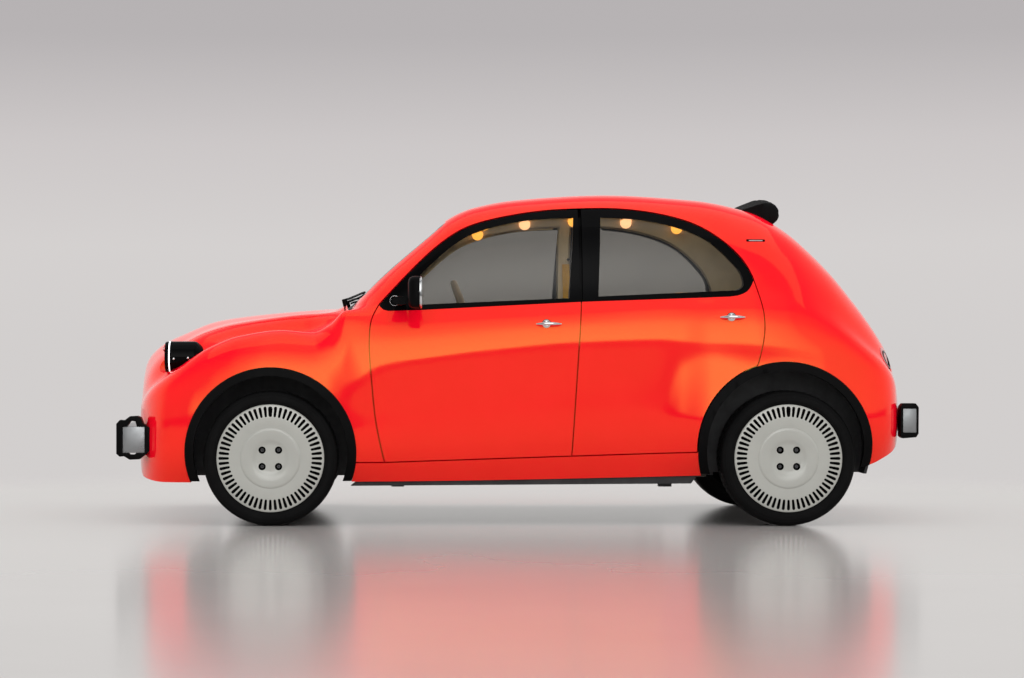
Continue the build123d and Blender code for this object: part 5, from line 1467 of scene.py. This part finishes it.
faces = [(i * columns + j, i * columns + j + 1, (i + 1) * columns + j + 1, (i + 1) * columns + j)
         for i in range(FLAP_ROWS - 1) for j in range(columns - 1)]
flap = bpy.data.meshes.new("flap")
flap.from_pydata([Vector(p) * MM for row in rows for p in row], [], faces)
flap = modified(flap, ("SOLIDIFY", {"thickness": 0.0022, "offset": 1.0}))
flap = piece("canvas_flap", smooth(flap, 50), "root", [CANVAS])
seal_x, seal_front, seal_rear = OPENING_X + 3, OPENING_Y[0] - 3, OPENING_Y[1] + 3
corners = [(-seal_x, seal_front), (seal_x, seal_front), (seal_x, seal_rear), (-seal_x, seal_rear)]
seal_line = []
for (xa, ya), (xb, yb) in zip(corners, corners[1:] + corners[:1]):
    for k in range(30):
        x, y = mix(xa, xb, k / 30), mix(ya, yb, k / 30)
        seal_line.append((x * 0.991, mix(y, 463, 0.004), above_z(x, y) - 5.0))
piece("roof_opening_seal", smooth(tube(seal_line, 5, 10, closed=True), 80), "root", [RUBBER])

# ---------------------------------------------------------------- carried-over parts
for node, finish in (("floor_pan", UNDERBODY), ("knuckle_front_left", STEEL),
                     ("knuckle_front_right", STEEL), ("front_subframe", STEEL), ("rear_axle", STEEL),
                     ("motor", CASE), ("battery_pack", BLACK)):
    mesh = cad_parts[node].data
    if not mesh.materials:
        mesh.materials.append(finish)
    for k in range(len(mesh.materials)):
        mesh.materials[k] = finish


# ---------------------------------------------------------------- studio and camera
def grey(level):
    return (level, level, level)


def studio_floor():
    """Pale floor that fades into the backdrop well away from the car."""
    mesh = bpy.data.meshes.new("floor")
    mesh.from_pydata([(-40, -40, 0), (40, -40, 0), (40, 40, 0), (-40, 40, 0)], [], [(0, 1, 2, 3)])
    floor = bpy.data.objects.new("floor", mesh)
    SCENE.collection.objects.link(floor)
    made, tree, shader = material("pale_floor", {"Roughness": 0.17, "Specular IOR Level": 0.7})
    colour = tree.ramp(tree.noise(0.6), [(0.2, (0.37, 0.355, 0.345)), (0.8, (0.41, 0.395, 0.385))])
    place = tree.add("TexCoord").outputs["Object"]
    reach = tree.add("VectorMath", {1: (2.2, 0.0, 0.0)}, {0: place}, operation="DISTANCE").outputs["Value"]
    tree.feed(shader, {"Base Color": colour,
                       "Alpha": tree.spread(reach, 1.0, 0.0, 4.6, 6.8, "SMOOTHSTEP")})
    matt = tree.add("BsdfDiffuse", sources={"Color": colour}).outputs["BSDF"]
    seen = tree.add("LightPath").outputs["Is Camera Ray"]
    pick = tree.add("MixShader", sources={"Fac": seen, 1: matt, 2: shader.outputs["BSDF"]})
    tree.feed(tree.nodes["Material Output"], {"Surface": pick.outputs["Shader"]})
    mesh.materials.append(made)


def studio_world():
    """Backdrop for the camera, and a bright wall on the camera's side as the light."""
    world = bpy.data.worlds.new("studio")
    SCENE.world = world
    tree = Tree(world)
    split = tree.add("SeparateXYZ", sources={"Vector": tree.add("TexCoord").outputs["Generated"]})
    x, y, z = (split.outputs[name] for name in "XYZ")
    backdrop = tree.nodes["Background"]
    tree.feed(backdrop, {"Color": tree.ramp(z, [
        (0.0, (0.645, 0.622, 0.615)), (0.04, (0.66, 0.635, 0.628)), (0.08, (0.605, 0.575, 0.575)),
        (0.12, (0.475, 0.452, 0.458)), (0.3, (0.40, 0.38, 0.385))])})
    band = tree.ramp(z, [(0.020, grey(0.07)), (0.030, (1.0, 0.99, 0.97)), (0.30, (0.80, 0.80, 0.79)),
                         (0.48, grey(0.50)), (0.75, grey(0.15))])
    window = tree.ramp(tree.spread(y, 0.0, 1.0, -1.0, 1.0),
                       [(0.36, grey(0.10)), (0.445, grey(1)), (0.56, grey(1)), (0.62, grey(0.30)),
                        (0.9, grey(0.24))])
    wall = tree.add("Mix", {"Factor": 1.0}, {"A": band, "B": window}, data_type="RGBA",
                    blend_type="MULTIPLY").outputs["Result"]
    behind = tree.ramp(z, [(0.0, (0.22, 0.215, 0.21)), (0.5, grey(0.22)), (0.8, grey(0.09))])
    side = tree.spread(x, 0.0, 1.0, -0.2, 0.4, "SMOOTHSTEP")
    room = tree.add("Mix", sources={"Factor": side, "A": behind, "B": wall}, data_type="RGBA")
    mirror = tree.add("Background", {"Strength": WALL_STRENGTH}, {"Color": room.outputs["Result"]})
    glow = tree.ramp(tree.spread(z, 0.0, 1.0, -1.0, 1.0),
                     [(0.0, (0.35, 0.34, 0.335)), (0.5, (0.62, 0.61, 0.60)), (0.6, (0.98, 0.97, 0.96)),
                      (1.0, grey(0.86))])
    fill = tree.add("Background", {"Strength": FILL_STRENGTH}, {"Color": glow})
    path = tree.add("LightPath")
    direct = tree.add("Math", sources={0: path.outputs["Is Camera Ray"],
                                       1: path.outputs["Is Transmission Ray"]}, operation="MAXIMUM")
    lit = tree.add("MixShader", sources={"Fac": path.outputs["Is Glossy Ray"],
                                         1: fill.outputs["Background"], 2: mirror.outputs["Background"]})
    shown = tree.add("MixShader", sources={"Fac": direct.outputs["Value"], 1: lit.outputs["Shader"],
                                           2: backdrop.outputs["Background"]})
    tree.feed(tree.nodes["World Output"], {"Surface": shown.outputs["Shader"]})


def top_light():
    """Weak rectangular lamp above the car."""
    data = bpy.data.lights.new("top_light", "AREA")
    data.shape = "RECTANGLE"
    data.size, data.size_y = 8.0, 5.0
    data.energy = 60
    lamp = bpy.data.objects.new("top_light", data)
    lamp.location = (0.5, 0.0, 5.5)
    lamp.rotation_euler = (Vector((0, 0, 0.6)) - lamp.location).to_track_quat("-Z", "Y").to_euler()
    SCENE.collection.objects.link(lamp)


def side_camera():
    """Camera level with the car's side, a long way off."""
    data = bpy.data.cameras.new("camera")
    data.sensor_width = 36.0
    data.lens = 90.0
    data.shift_x = 0.105
    data.shift_y = 0.008
    data.clip_end = 200.0
    camera = bpy.data.objects.new("camera", data)
    camera.location = (12.69, -0.5285, 0.829)
    camera.rotation_euler = (math.radians(90), 0, math.radians(90))
    SCENE.collection.objects.link(camera)
    SCENE.camera = camera


WALL_STRENGTH, FILL_STRENGTH = 3.3, 1.55
studio_floor()
studio_world()
top_light()
side_camera()
SCENE.view_settings.view_transform = "Standard"
